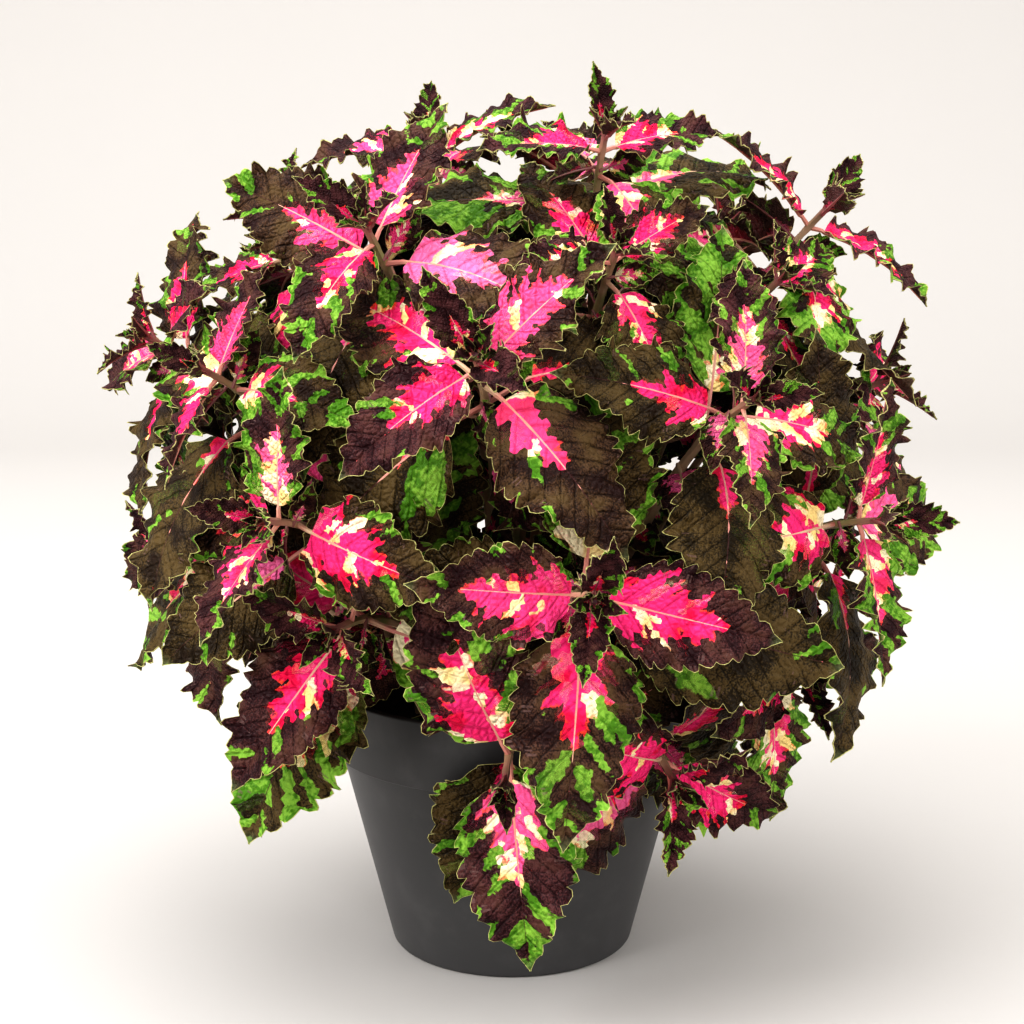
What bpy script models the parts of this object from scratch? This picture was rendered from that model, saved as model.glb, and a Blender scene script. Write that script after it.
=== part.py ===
"""A potted coleus: a plastic nursery pot, its soil, and square leafy stems with toothed leaves in crossed pairs.

Metres, +Z up. The origin is the centre of the pot's flat base, and -Y is the front.
"""

import math
import random
from dataclasses import dataclass

import bmesh
import bpy
from mathutils import Matrix, Vector
from mathutils.bvhtree import BVHTree

# The pot, a turned shell with a deep collar
POT_HEIGHT = 0.140
BASE_RADIUS = 0.063
BODY_TOP_RADIUS = 0.089
COLLAR_HEIGHT = 0.034
COLLAR_RADIUS = 0.095
POT_WALL = 0.0022
FLOOR_THICKNESS = 0.003
EDGE_ROUND = 0.0012
FOOT_ROUND = 0.004
POT_STEPS = 32
DRAIN_COUNT = 6
DRAIN_RADIUS = 0.005
DRAIN_RING = 0.042
DRAIN_SIDES = 8

# The soil, with a plain hole for each stem
SOIL_TOP = 0.124
SOIL_CROWN = 0.003
SOIL_GAP = 0.0004
SOIL_STEPS = 16
ROOT_DEPTH = 0.030
HOLE_SIDES = 6
HOLE_GAP = 0.0006

# The dome that the growing tips stand on, and the pull of the light on them
DOME_CENTRE = Vector((0.005, 0.0, 0.250))
LIGHT_PULL = Vector((0.0, -0.32, 0.20))

# The square stems
TIP_HALF = 0.0013
STEM_SWELL = 0.0105
STEM_HALF_MOST = 0.0034
TIP_PAST_NODE = 0.004
NODE_HEIGHT = 0.0042
BRANCH_NODE_HEIGHT = 0.0062
BRANCH_RISES = (0.038, 0.018)
PLAIN_STEP = 0.045
ROUTE_SAMPLES = 48
PROXY_STEPS = 14

# The leaves: a lens section, thickest at the rib, with a toothed edge
RIB_HALF_LEAST = 0.0006
RIB_HALF_GAIN = 0.0060
WIDEST_AT = 0.34
BASE_ROUND = 0.6
TIP_TAPER = 1.17
TEETH_FROM = 0.05
TEETH_TO = 0.90
TOOTH_DEPTH = 0.052
TOOTH_PEAK = 0.60
TOOTH_LEAN = 0.25
EDGE_WAVE = 0.10
HANG_STRAIGHT = 0.3

# Where a leaf may grow: clear of what stands, and above the ground
CLEARANCE = 0.0006
OWN_CLEARANCE = 0.0002
LOWEST_LEAF = 0.012
TRIALS = 90


@dataclass(frozen=True)
class Tier:
    """One pair of leaves down a shoot, from the young pair at its tip to the old pair.

    Lengths are in metres at vigour 1, breadth is the half width as a share of the blade, and angles are in degrees:
    lean from the stem, knee between the petiole and the blade, droop along the blade, and fold up from the rib.
    """

    below_tip: float
    petiole: float
    blade: float
    breadth: float
    lean: float
    knee: float
    droop: float
    fold: float
    sag: float
    teeth: int
    ribs: int
    vigour_share: float

    def scale(self, vigour):
        """How far a shoot's vigour stretches this pair: fully near the tip, little on the grown pair."""
        return 1 + (vigour - 1) * self.vigour_share


TIERS = (
    Tier(0.005, 0.004, 0.031, 0.26, 36, 4, 24, 26, 0.1, 3, 1, 1.0),
    Tier(0.013, 0.006, 0.060, 0.30, 66, 6, 34, 18, 0.2, 4, 1, 1.0),
    Tier(0.026, 0.012, 0.079, 0.31, 74, 10, 44, 14, 0.3, 4, 2, 0.7),
    Tier(0.048, 0.024, 0.092, 0.32, 60, 24, 46, 10, 0.3, 5, 2, 0.2),
)


@dataclass(frozen=True)
class Shoot:
    """A growing tip: its bearing from the front towards +X, its latitude on the dome, and the turn of its pairs.

    Shed lists the leaves that it has lost, each by its pair, from 0 for the youngest, and its side, 0 or 1.
    """

    bearing: float
    latitude: float
    reach: float
    turn: float
    vigour: float = 1.0
    shed: tuple = ()


@dataclass(frozen=True)
class LeafyStem:
    """One stem from the soil. Its first shoot is the leader, and the others branch from its faces."""

    name: str
    soil_bearing: float
    soil_radius: float
    shoots: tuple


STEMS = (
    LeafyStem("stem_top", -80, 0.006, (
        Shoot(-80, 74, 0.172, 30),
        Shoot(31, 66, 0.184, 5, 0.95),
        Shoot(160, 62, 0.174, 40),
    )),
    LeafyStem("stem_front_left", -35, 0.030, (
        Shoot(-34, 45, 0.180, 80, 1.1),
        Shoot(-38, 0, 0.186, 80),
        Shoot(-32, -18, 0.170, 65, 1.4),
    )),
    LeafyStem("stem_front", -5, 0.046, (
        Shoot(-7, 24, 0.184, 40, 1.25),
        Shoot(9, -8, 0.190, -10, 1.25),
        Shoot(-3, -37, 0.194, 103, 1.52, ((0, 0), (0, 1), (2, 0))),
    )),
    LeafyStem("stem_front_right", 26, 0.041, (
        Shoot(21, 45, 0.165, 20, 0.85),
        Shoot(35, 17, 0.184, 80, 0.95),
        Shoot(28, -40, 0.194, -35, 1.25),
    )),
    LeafyStem("stem_right_front", 62, 0.052, (
        Shoot(62, 36, 0.170, 10, 0.8),
        Shoot(56, -2, 0.198, 85, 1.1),
        Shoot(54, -27, 0.184, 10),
    )),
    LeafyStem("stem_left_front", -66, 0.050, (
        Shoot(-68, 42, 0.172, 45, 0.9),
        Shoot(-54, 19, 0.190, 80, 0.85),
        Shoot(-66, -8, 0.186, 30, 0.9),
    )),
    LeafyStem("stem_left", -100, 0.040, (
        Shoot(-104, 45, 0.178, 20),
        Shoot(-83, 20, 0.198, 25, 1.0),
        Shoot(-98, -12, 0.184, 10),
    )),
    LeafyStem("stem_right", 92, 0.034, (
        Shoot(84, 41, 0.200, -60, 1.15),
        Shoot(92, 13, 0.190, 10),
        Shoot(90, -22, 0.184, 70, 1.0, ((3, 0),)),
    )),
    LeafyStem("stem_back_right", 128, 0.046, (
        Shoot(124, 42, 0.178, 15),
        Shoot(126, 8, 0.186, 50),
        Shoot(122, -26, 0.180, 5),
    )),
    LeafyStem("stem_back", 168, 0.036, (
        Shoot(164, 28, 0.184, 0, 1.1),
        Shoot(158, -10, 0.184, 35),
    )),
    LeafyStem("stem_back_left", -150, 0.048, (
        Shoot(-146, 44, 0.178, 30),
        Shoot(-162, 12, 0.186, 65),
        Shoot(-156, -24, 0.180, 15),
    )),
    LeafyStem("stem_left_back", -128, 0.054, (
        Shoot(-124, 16, 0.186, 25),
        Shoot(-130, -18, 0.182, 60),
    )),
)


def turned(vector, axis, degrees):
    """The vector turned about an axis."""
    return Matrix.Rotation(math.radians(degrees), 3, axis) @ vector


def on_bearing(bearing, radius, height):
    """A point at a radius from the pot's axis, at a bearing from the front towards +X."""
    angle = math.radians(bearing)
    return Vector((radius * math.sin(angle), -radius * math.cos(angle), height))


class Route:
    """A stem's curve from its foot to its tip, with the frame of its square section at any distance from the tip."""

    def __init__(self, foot, foot_way, tip, tip_way, turn):
        reach = (tip - foot).length
        handles = (foot, foot + foot_way * 0.38 * reach, tip - tip_way * 0.42 * reach, tip)
        self.points = [self.cubic(handles, k / ROUTE_SAMPLES) for k in range(ROUTE_SAMPLES, -1, -1)]
        ways = [(self.points[k] - self.points[k + 1]).normalized() for k in range(ROUTE_SAMPLES)]
        self.ways = [tip_way, *ways[1:], foot_way]
        start = Vector((0, 0, 1)) - tip_way * tip_way.z
        if start.length < 0.2:
            start = Vector((0, -1, 0)) + tip_way * tip_way.y
        self.sides = [turned(start.normalized(), tip_way, turn)]
        self.distances = [0.0]
        for k in range(ROUTE_SAMPLES):
            bend = self.ways[k].rotation_difference(self.ways[k + 1])
            side = bend @ self.sides[-1]
            self.sides.append((side - self.ways[k + 1] * side.dot(self.ways[k + 1])).normalized())
            self.distances.append(self.distances[-1] + (self.points[k] - self.points[k + 1]).length)
        self.length = self.distances[-1]

    @staticmethod
    def cubic(handles, t):
        """A point on the cubic through four handles."""
        a, b, c, d = handles
        s = 1 - t
        return a * s**3 + b * (3 * s * s * t) + c * (3 * s * t * t) + d * t**3

    def frame(self, distance):
        """(point, way towards the tip, first side, second side) at a distance down from the tip."""
        distance = min(max(distance, 0.0), self.length)
        k = 0
        while k < ROUTE_SAMPLES - 1 and self.distances[k + 1] < distance:
            k += 1
        share = (distance - self.distances[k]) / (self.distances[k + 1] - self.distances[k])
        point = self.points[k].lerp(self.points[k + 1], share)
        way = self.ways[k].lerp(self.ways[k + 1], share).normalized()
        side = self.sides[k].lerp(self.sides[k + 1], share)
        side = (side - way * side.dot(way)).normalized()
        return point, way, side, way.cross(side)

    def square(self, distance, half):
        """The four corners of the stem at a distance down from the tip, anticlockwise about the way up."""
        point, _, side, other = self.frame(distance)
        corners = ((1, -1), (1, 1), (-1, 1), (-1, -1))
        return [point + side * (half * a) + other * (half * b) for a, b in corners]

    def face_way(self, distance, face):
        """The way that one of the four faces looks. Face k lies between corners k and k + 1."""
        _, _, side, other = self.frame(distance)
        return (side, other, -side, -other)[face]


def stem_half(distance):
    """Half the stem's side at a distance down from the tip."""
    return min(TIP_HALF + STEM_SWELL * distance, STEM_HALF_MOST)


@dataclass
class LeafForm:
    """One leaf: where its petiole leaves the stem, and how its blade is bent."""

    tier: Tier
    start: Vector
    way: Vector
    up: Vector
    size: float
    knee: float
    droop: float
    twist: float
    seed: int

    def __post_init__(self):
        self.side = self.up.cross(self.way)
        self.blade_start = self.start + self.way * (self.tier.petiole * self.size)
        self.blade_way = turned(self.way, self.side, self.knee)
        self.blade_up = turned(self.up, self.side, self.knee)
        self.length = self.tier.blade * self.size
        self.half_width = self.length * self.tier.breadth
        self.thick = RIB_HALF_LEAST + RIB_HALF_GAIN * self.length
        self.bend = math.radians(max(self.droop, 1.0)) / self.length

    def half_at(self, share):
        """Half the blade's width at a share of its length: broad near the base, drawn out at the tip."""
        rise = (share / WIDEST_AT) ** BASE_ROUND
        fall = ((1 - share) / (1 - WIDEST_AT)) ** TIP_TAPER
        return self.half_width * rise * fall

    def point(self, share, across, lift=0.0):
        """A point of the blade at a share of its length, a signed distance across, and a lift off its surface."""
        angle = self.bend * share * self.length
        ahead = self.blade_way * (math.sin(angle) / self.bend)
        down = self.blade_up * ((1 - math.cos(angle)) / self.bend)
        up = self.blade_up * math.cos(angle) + self.blade_way * math.sin(angle)
        roll = math.radians(self.twist) * share
        side = self.side * math.cos(roll) + up * math.sin(roll)
        up = up * math.cos(roll) - self.side * math.sin(roll)
        fold = math.radians(self.tier.fold)
        out = abs(across)
        rise = out * math.sin(fold) - self.tier.sag * out * out / self.half_width
        return self.blade_start + ahead - down + side * (across * math.cos(fold)) + up * (rise + lift)

    def edge(self, sign, margin=0.0):
        """[(share, across, lift)] of the toothed edge on one side, notch and tooth in turn, from base to tip."""
        rng = random.Random(self.seed * 2 + (sign > 0))
        pitch = (TEETH_TO - TEETH_FROM) / self.tier.teeth
        found = []
        for tooth in range(self.tier.teeth):
            notch = TEETH_FROM + tooth * pitch
            peak = notch + TOOTH_PEAK * pitch
            grow = rng.uniform(0.75, 1.25)
            lift = rng.uniform(-1, 1) * EDGE_WAVE * self.half_width
            narrow = self.half_at(notch)
            depth = TOOTH_DEPTH * self.length * (0.4 + 0.6 * self.half_at(peak) / self.half_width)
            inner = narrow - 0.5 * depth if tooth else 0.8 * narrow
            outer = self.half_at(peak) + 0.5 * depth * grow
            found.append((notch, sign * (inner + margin), 0.0))
            found.append((peak + TOOTH_LEAN * pitch, sign * (outer + margin), lift))
        return found


def zipped(inner, outer):
    """Triangles between two chains of (share, index) that start apart and end on one shared point."""
    faces = []
    i = j = 0
    while i < len(inner) - 1 or j < len(outer) - 1:
        if j == len(outer) - 1 or (i < len(inner) - 1 and inner[i + 1][0] <= outer[j + 1][0]):
            face = (inner[i][1], outer[j][1], inner[i + 1][1])
            i += 1
        else:
            face = (inner[i][1], outer[j][1], outer[j + 1][1])
            j += 1
        if len(set(face)) == 3:
            faces.append(face)
    return faces


def add_blade(points, faces, form, ring, spare=0.0):
    """Adds a blade from the four points at its petiole's end. Its upper and lower faces are split alike."""
    right, top, left, bottom = ring
    thick = form.thick + spare
    tip = len(points)
    points.append(form.point(1.0, 0.0))
    ribs = {}
    for face, lift, first in (("upper", thick, top), ("lower", -thick, bottom)):
        ribs[face] = [(0.0, first)]
        for k in range(form.tier.ribs):
            share = (k + 1) / (form.tier.ribs + 1)
            ribs[face].append((share, len(points)))
            points.append(form.point(share, 0.0, lift))
        ribs[face].append((1.0, tip))
    for sign, first in ((1, right), (-1, left)):
        edge = [(0.0, first)]
        for share, across, lift in form.edge(sign, spare):
            edge.append((share, len(points)))
            points.append(form.point(share, across, lift))
        edge.append((1.0, tip))
        faces += [face[::-sign] for face in zipped(ribs["upper"], edge)]
        faces += [face[::sign] for face in zipped(ribs["lower"], edge)]


def petiole_ring(form, share=1.0, spare=0.0):
    """Four points round the petiole at a share of its length: right, top, left, bottom, anticlockwise about its way."""
    middle = form.start.lerp(form.blade_start, share)
    side = form.side * (form.thick + spare)
    up = form.up * (form.thick + spare)
    return [middle + side, middle + up, middle - side, middle - up]


def add_ring(points, corners):
    """The indices of four new points."""
    points += corners
    return list(range(len(points) - 4, len(points)))


def bridged(lower, upper):
    """The faces between two rings of four indices, both anticlockwise."""
    return [(lower[k], lower[(k + 1) % 4], upper[(k + 1) % 4], upper[k]) for k in range(4)]


def nearest_turn(points, lower, upper):
    """The upper ring's indices, turned to lie nearest to the lower ring's."""
    def spread(shift):
        return sum((points[lower[k]] - points[upper[(k + shift) % 4]]).length for k in range(4))

    shift = min(range(4), key=spread)
    return [upper[(k + shift) % 4] for k in range(4)]


@dataclass
class Solid:
    """A standing solid that a new leaf must stay clear of. Shoot is the number of the shoot whose stem it is."""

    owner: str
    shoot: int
    faces: list
    tree: BVHTree
    low: Vector
    high: Vector

    @classmethod
    def of(cls, owner, shoot, points, faces):
        """The solid of these points and faces."""
        low = Vector([min(p[k] for p in points) for k in range(3)])
        high = Vector([max(p[k] for p in points) for k in range(3)])
        return cls(owner, shoot, faces, BVHTree.FromPolygons(points, faces), low, high)

    def crosses_itself(self):
        """Do two of its own faces cross that share no corner?"""
        return any(not set(self.faces[a]) & set(self.faces[b]) for a, b in self.tree.overlap(self.tree))

    def meets(self, other):
        """Do the surfaces of the two solids cross?"""
        if any(self.low[k] > other.high[k] or other.low[k] > self.high[k] for k in range(3)):
            return False
        return bool(self.tree.overlap(other.tree))


@dataclass
class Grown:
    """A shoot on its route. It starts at a foot in the soil, or at a face of the leader some way from its tip."""

    owner: str
    number: int
    shoot: Shoot
    route: Route
    foot: Vector
    leader_distance: float
    leader_face: int
    leaves: dict


def grown_routes():
    """{stem name: [Grown]} with every route laid and no leaves yet."""
    plant = {}
    number = 0
    for stem in STEMS:
        foot = on_bearing(stem.soil_bearing, stem.soil_radius, SOIL_TOP - ROOT_DEPTH)
        shoots = []
        for order, shoot in enumerate(stem.shoots):
            level = math.radians(shoot.latitude)
            radial = on_bearing(shoot.bearing, math.cos(level), math.sin(level))
            tip = DOME_CENTRE + radial * shoot.reach
            tip_way = (radial + LIGHT_PULL).normalized()
            distance = 0.0
            face = 0
            if order == 0:
                start = on_bearing(stem.soil_bearing, stem.soil_radius, SOIL_TOP)
                way = (Vector((0, 0, 1)) + radial * 0.12).normalized()
            else:
                leader = shoots[0].route
                distance = leader.length - BRANCH_RISES[order - 1]
                middle = leader.frame(distance)[0]
                face = max(range(4), key=lambda k: leader.face_way(distance, k).dot(tip - middle))
                out = leader.face_way(distance, face)
                way = (out + Vector((0, 0, 0.9))).normalized()
                start = middle + out * stem_half(distance)
            route = Route(start, way, tip, tip_way, shoot.turn)
            shoots.append(Grown(stem.name, number, shoot, route, foot, distance, face, {}))
            number += 1
        plant[stem.name] = shoots
    return plant


def stem_proxy(grown):
    """The stem of a shoot as a solid on its own, a clearance larger, without its leaves."""
    points = []
    faces = []
    rings = []
    for k in range(PROXY_STEPS + 1):
        distance = grown.route.length * k / PROXY_STEPS
        rings.append(add_ring(points, grown.route.square(distance, stem_half(distance) + CLEARANCE)))
    for upper, lower in zip(rings, rings[1:]):
        faces += bridged(lower, upper)
    return Solid.of(grown.owner, grown.number, points, faces)


def leaf_proxy(grown, form, spare, petiole_from=0.05):
    """A leaf as a solid on its own, with a spare thickness, its petiole starting a share of the way along."""
    points = []
    near = add_ring(points, petiole_ring(form, petiole_from, spare))
    far = add_ring(points, petiole_ring(form, 1.0, spare))
    faces = [tuple(near[::-1]), *bridged(near, far)]
    add_blade(points, faces, form, far, spare)
    return Solid.of(grown.owner, -1, points, faces)


def leaf_form(grown, tier, side, trial):
    """The leaf of one tier and side, moved from its natural place by a seeded draw that widens with each trial."""
    order = TIERS.index(tier)
    seed = grown.number * 100 + order * 10 + side
    nature = random.Random(seed)
    draw = random.Random(seed * 1000 + trial)
    wide = 0.35 + trial / 26 if trial else 0.0
    stretch = tier.scale(grown.shoot.vigour)
    distance = tier.below_tip * stretch
    point, axis, _, _ = grown.route.frame(distance)
    out = grown.route.face_way(distance, 2 * side + order % 2)
    lean = math.radians(tier.lean + nature.gauss(0, 4) + draw.gauss(0, 7) * wide)
    swing = nature.gauss(0, 5) + draw.gauss(0, 9) * wide
    roll = nature.gauss(0, 5) + draw.gauss(0, 11) * wide
    swung = turned(out, axis, swing)
    way = swung * math.sin(lean) + axis * math.cos(lean)
    up = turned(axis * math.sin(lean) - swung * math.cos(lean), way, roll)
    weight = HANG_STRAIGHT + (1 - HANG_STRAIGHT) * math.hypot(way.x, way.y)
    return LeafForm(
        tier=tier,
        start=point + out * stem_half(distance),
        way=way,
        up=up,
        size=stretch * nature.uniform(0.92, 1.06) * (1 - 0.0035 * trial),
        knee=tier.knee * weight + nature.gauss(0, 4) + draw.gauss(0, 8) * wide,
        droop=tier.droop * weight * nature.uniform(0.7, 1.3) + draw.gauss(0, 10) * wide,
        twist=nature.gauss(0, 9) + draw.gauss(0, 6) * wide,
        seed=seed,
    )


def fits(grown, form, placed):
    """Does the leaf cross nothing? It keeps a gap to the other stems, and its petiole may leave its own."""
    wide = leaf_proxy(grown, form, CLEARANCE)
    if wide.low.z < LOWEST_LEAF:
        return False
    close = leaf_proxy(grown, form, OWN_CLEARANCE)
    bare = leaf_proxy(grown, form, 0.0, 0.9)
    if bare.crosses_itself():
        return False
    for other in placed:
        if other.owner != grown.owner:
            probe = wide
        elif other.shoot == grown.number:
            probe = bare
        else:
            probe = close
        if probe.meets(other):
            return False
    return True


def place_leaves(plant):
    """Puts each leaf where it crosses nothing, from the young pairs to the old. One that finds no room isn't grown."""
    growing = [grown for shoots in plant.values() for grown in shoots]
    placed = [
        Solid.of("pot", -1, *lathed(pot_profile(), POT_STEPS)),
        Solid.of("soil", -1, *lathed(soil_profile(), SOIL_STEPS)),
        *[stem_proxy(grown) for grown in growing],
    ]
    for order, tier in enumerate(TIERS):
        for grown in growing:
            for side in (0, 1):
                if (order, side) in grown.shoot.shed:
                    continue
                for trial in range(TRIALS):
                    form = leaf_form(grown, tier, side, trial)
                    if fits(grown, form, placed):
                        placed.append(leaf_proxy(grown, form, 0.0))
                        grown.leaves[tier, side] = form
                        break


def pot_profile():
    """[(radius, height)] of the pot from the middle of its floor inside, over the collar and down to its base."""
    collar_low = POT_HEIGHT - COLLAR_HEIGHT
    collar_inner = COLLAR_RADIUS - POT_WALL - EDGE_ROUND
    return [
        (0.0, FLOOR_THICKNESS),
        (BASE_RADIUS - POT_WALL, FLOOR_THICKNESS),
        (BODY_TOP_RADIUS - POT_WALL, collar_low),
        (collar_inner, collar_low + POT_WALL),
        (collar_inner, POT_HEIGHT),
        (COLLAR_RADIUS - EDGE_ROUND, POT_HEIGHT),
        (COLLAR_RADIUS, POT_HEIGHT - EDGE_ROUND),
        (COLLAR_RADIUS, collar_low + EDGE_ROUND),
        (COLLAR_RADIUS - EDGE_ROUND, collar_low),
        (BODY_TOP_RADIUS, collar_low),
        (BASE_RADIUS, FOOT_ROUND),
        (BASE_RADIUS - 0.7 * FOOT_ROUND, 0.0),
        (0.0, 0.0),
    ]


def soil_profile():
    """[(radius, height)] of the soil from the middle of its crown to the middle of its underside."""
    collar_low = POT_HEIGHT - COLLAR_HEIGHT
    collar = COLLAR_RADIUS - POT_WALL - EDGE_ROUND - SOIL_GAP
    body = BODY_TOP_RADIUS - POT_WALL - 2 * SOIL_GAP
    return [
        (0.0, SOIL_TOP + SOIL_CROWN),
        (0.5 * body, SOIL_TOP + 0.7 * SOIL_CROWN),
        (collar, SOIL_TOP - SOIL_CROWN),
        (collar, collar_low + POT_WALL + SOIL_GAP),
        (body, collar_low + SOIL_GAP),
        (BASE_RADIUS - POT_WALL - 3 * SOIL_GAP, FLOOR_THICKNESS + SOIL_GAP),
        (0.0, FLOOR_THICKNESS + SOIL_GAP),
    ]


def lathed(profile, steps):
    """The points and faces of a profile turned about the pot's axis."""
    points = [on_bearing(360 * k / steps, radius, height) for k in range(steps) for radius, height in profile]
    count = len(profile)
    faces = []
    for k in range(steps):
        near = k * count
        far = (k + 1) % steps * count
        faces += [(near + j, near + j + 1, far + j + 1, far + j) for j in range(count - 1)]
    return points, faces


def plain_material(name, colour, roughness):
    """A Principled material with one colour."""
    material = bpy.data.materials.new(name)
    material.use_nodes = True
    shader = material.node_tree.nodes["Principled BSDF"]
    shader.inputs["Base Color"].default_value = (*colour, 1.0)
    shader.inputs["Roughness"].default_value = roughness
    shader.inputs["Metallic"].default_value = 0.0
    material.diffuse_color = (*colour, 1.0)
    return material


def turned_object(name, profile, steps, collection, material):
    """A solid of revolution from a profile that runs from the axis inside, over the top and down the outside."""
    mesh = bpy.data.meshes.new(name)
    mesh.from_pydata([(r, 0, z) for r, z in profile], [(k, k + 1) for k in range(len(profile) - 1)], [])
    mesh.materials.append(material)
    made = bpy.data.objects.new(name, mesh)
    collection.objects.link(made)
    screw = made.modifiers.new("Turn", "SCREW")
    screw.steps = steps
    screw.render_steps = steps
    screw.use_merge_vertices = True
    screw.merge_threshold = 0.00001
    return made


def cut(target, cutters, name):
    """Cuts a collection of solids from the target."""
    boolean = target.modifiers.new(name, "BOOLEAN")
    boolean.operation = "DIFFERENCE"
    boolean.operand_type = "COLLECTION"
    boolean.collection = cutters
    boolean.solver = "EXACT"


def peg(name, place, radius, low, high, sides, collection):
    """An upright prism that cuts a hole."""
    middle = (place.x, place.y, (low + high) / 2)
    bpy.ops.mesh.primitive_cylinder_add(vertices=sides, radius=radius, depth=high - low, location=middle)
    made = bpy.context.object
    made.name = name
    made.hide_render = True
    made.display_type = "WIRE"
    for holder in list(made.users_collection):
        holder.objects.unlink(made)
    collection.objects.link(made)


def make_pot(collection, cutters):
    """The pot: a tapered body under a deep collar, open at the top, with drain holes round its flat floor."""
    plastic = plain_material("pot_plastic", (0.055, 0.055, 0.058), 0.42)
    pot = turned_object("pot", pot_profile(), POT_STEPS, collection, plastic)
    for k in range(DRAIN_COUNT):
        place = on_bearing(360 * (k + 0.5) / DRAIN_COUNT, DRAIN_RING, 0)
        peg(f"drain_{k}", place, DRAIN_RADIUS, -0.01, 0.02, DRAIN_SIDES, cutters)
    cut(pot, cutters, "Drains")


def make_soil(collection, cutters):
    """The soil that fills the pot to below its rim, crowned a little, with a hole for each stem."""
    earth = plain_material("soil", (0.035, 0.022, 0.014), 0.95)
    soil = turned_object("soil", soil_profile(), SOIL_STEPS, collection, earth)
    radius = STEM_HALF_MOST * math.sqrt(2) / math.cos(math.pi / HOLE_SIDES) + HOLE_GAP
    for stem in STEMS:
        place = on_bearing(stem.soil_bearing, stem.soil_radius, 0)
        peg(f"hole_{stem.name}", place, radius, SOIL_TOP - ROOT_DEPTH - 0.001, 0.15, HOLE_SIDES, cutters)
    cut(soil, cutters, "Stem_holes")


def stations(grown, branches):
    """[(distance, height, openings)] down a shoot: each node with what grows from its faces, and plain rings."""
    nodes = []
    for order, tier in enumerate(TIERS):
        openings = {2 * side + order % 2: grown.leaves[tier, side] for side in (0, 1) if (tier, side) in grown.leaves}
        if openings:
            nodes.append((tier.below_tip * tier.scale(grown.shoot.vigour), NODE_HEIGHT, openings))
    for branch in branches:
        nodes.append((branch.leader_distance, BRANCH_NODE_HEIGHT, {branch.leader_face: branch}))
    nodes.sort(key=lambda node: node[0])
    rings = []
    ends = [*[node[0] for node in nodes[1:]], grown.route.length]
    for node, end in zip(nodes, ends):
        rings.append(node)
        extra = int((end - node[0]) / PLAIN_STEP)
        rings += [(node[0] + (end - node[0]) * (k + 1) / (extra + 1), 0.0, {}) for k in range(extra)]
    return rings


def add_leaf(points, faces, form, ring):
    """Adds a leaf whose petiole opens from a face of the stem."""
    end = add_ring(points, petiole_ring(form))
    faces += bridged(ring, nearest_turn(points, ring, end))
    add_blade(points, faces, form, end)


def add_shoot(points, faces, grown, branches, root_ring=None):
    """Adds a shoot, its leaves and its branches as one closed skin. It starts at a ring on its leader, or at a foot."""
    route = grown.route
    tip = len(points)
    points.append(route.frame(0)[0] + route.ways[0] * TIP_PAST_NODE)
    last = None
    for distance, height, openings in stations(grown, branches):
        half = stem_half(distance)
        above = add_ring(points, route.square(distance - height / 2, half))
        below = add_ring(points, route.square(distance + height / 2, half)) if height else above
        if last is None:
            faces += [(above[k], above[(k + 1) % 4], tip) for k in range(4)]
        else:
            faces += bridged(above, last)
        if height:
            for face, quad in enumerate(bridged(below, above)):
                grows = openings.get(face)
                if grows is None:
                    faces.append(quad)
                elif isinstance(grows, LeafForm):
                    add_leaf(points, faces, grows, quad)
                else:
                    add_shoot(points, faces, grows, [], quad)
        last = below
    if root_ring is None:
        rise = add_ring(points, route.square(route.length, stem_half(route.length)))
        sink = grown.foot - route.points[-1]
        base = add_ring(points, [points[k] + sink for k in rise])
        faces += [*bridged(rise, last), *bridged(base, rise), tuple(base[::-1])]
    else:
        faces += bridged(root_ring, nearest_turn(points, root_ring, last))


def stem_object(name, shoots, collection, material):
    """One leafy stem, its faces split into triangles and turned out."""
    points = []
    faces = []
    add_shoot(points, faces, shoots[0], shoots[1:])
    mesh = bpy.data.meshes.new(name)
    mesh.from_pydata([tuple(p) for p in points], [], faces)
    mesh.materials.append(material)
    work = bmesh.new()
    work.from_mesh(mesh)
    bmesh.ops.triangulate(work, faces=work.faces)
    bmesh.ops.recalc_face_normals(work, faces=work.faces)
    work.to_mesh(mesh)
    work.free()
    collection.objects.link(bpy.data.objects.new(name, mesh))


def main():
    """Clears the scene and builds the potted plant."""
    for old in list(bpy.data.objects):
        bpy.data.objects.remove(old, do_unlink=True)
    names = ("coleus", "drain_cutters", "hole_cutters")
    coleus, drains, holes = [bpy.data.collections.new(name) for name in names]
    for made in (coleus, drains, holes):
        bpy.context.scene.collection.children.link(made)
    make_pot(coleus, drains)
    make_soil(coleus, holes)
    plant = grown_routes()
    place_leaves(plant)
    for name, shoots in plant.items():
        foliage = plain_material(f"{name}_foliage", (0.075, 0.022, 0.026), 0.5)
        stem_object(name, shoots, coleus, foliage)
    return plant


if __name__ == "__main__":
    main()
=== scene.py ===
"""The looks of a potted coleus: marked and toothed leaves on square stems, with its soil and its pot.

Metres, +Z up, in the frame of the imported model. The plant grows by the same rule as the model's solids, so each fine
leaf lies along the solid leaf that it stands for.
"""

import logging
import math
import random
from dataclasses import dataclass, field
from enum import Enum
from typing import Iterable, Optional, Sequence, Union

import bpy
import numpy as np
from mathutils import Matrix, Vector, noise
from mathutils.bvhtree import BVHTree


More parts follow.
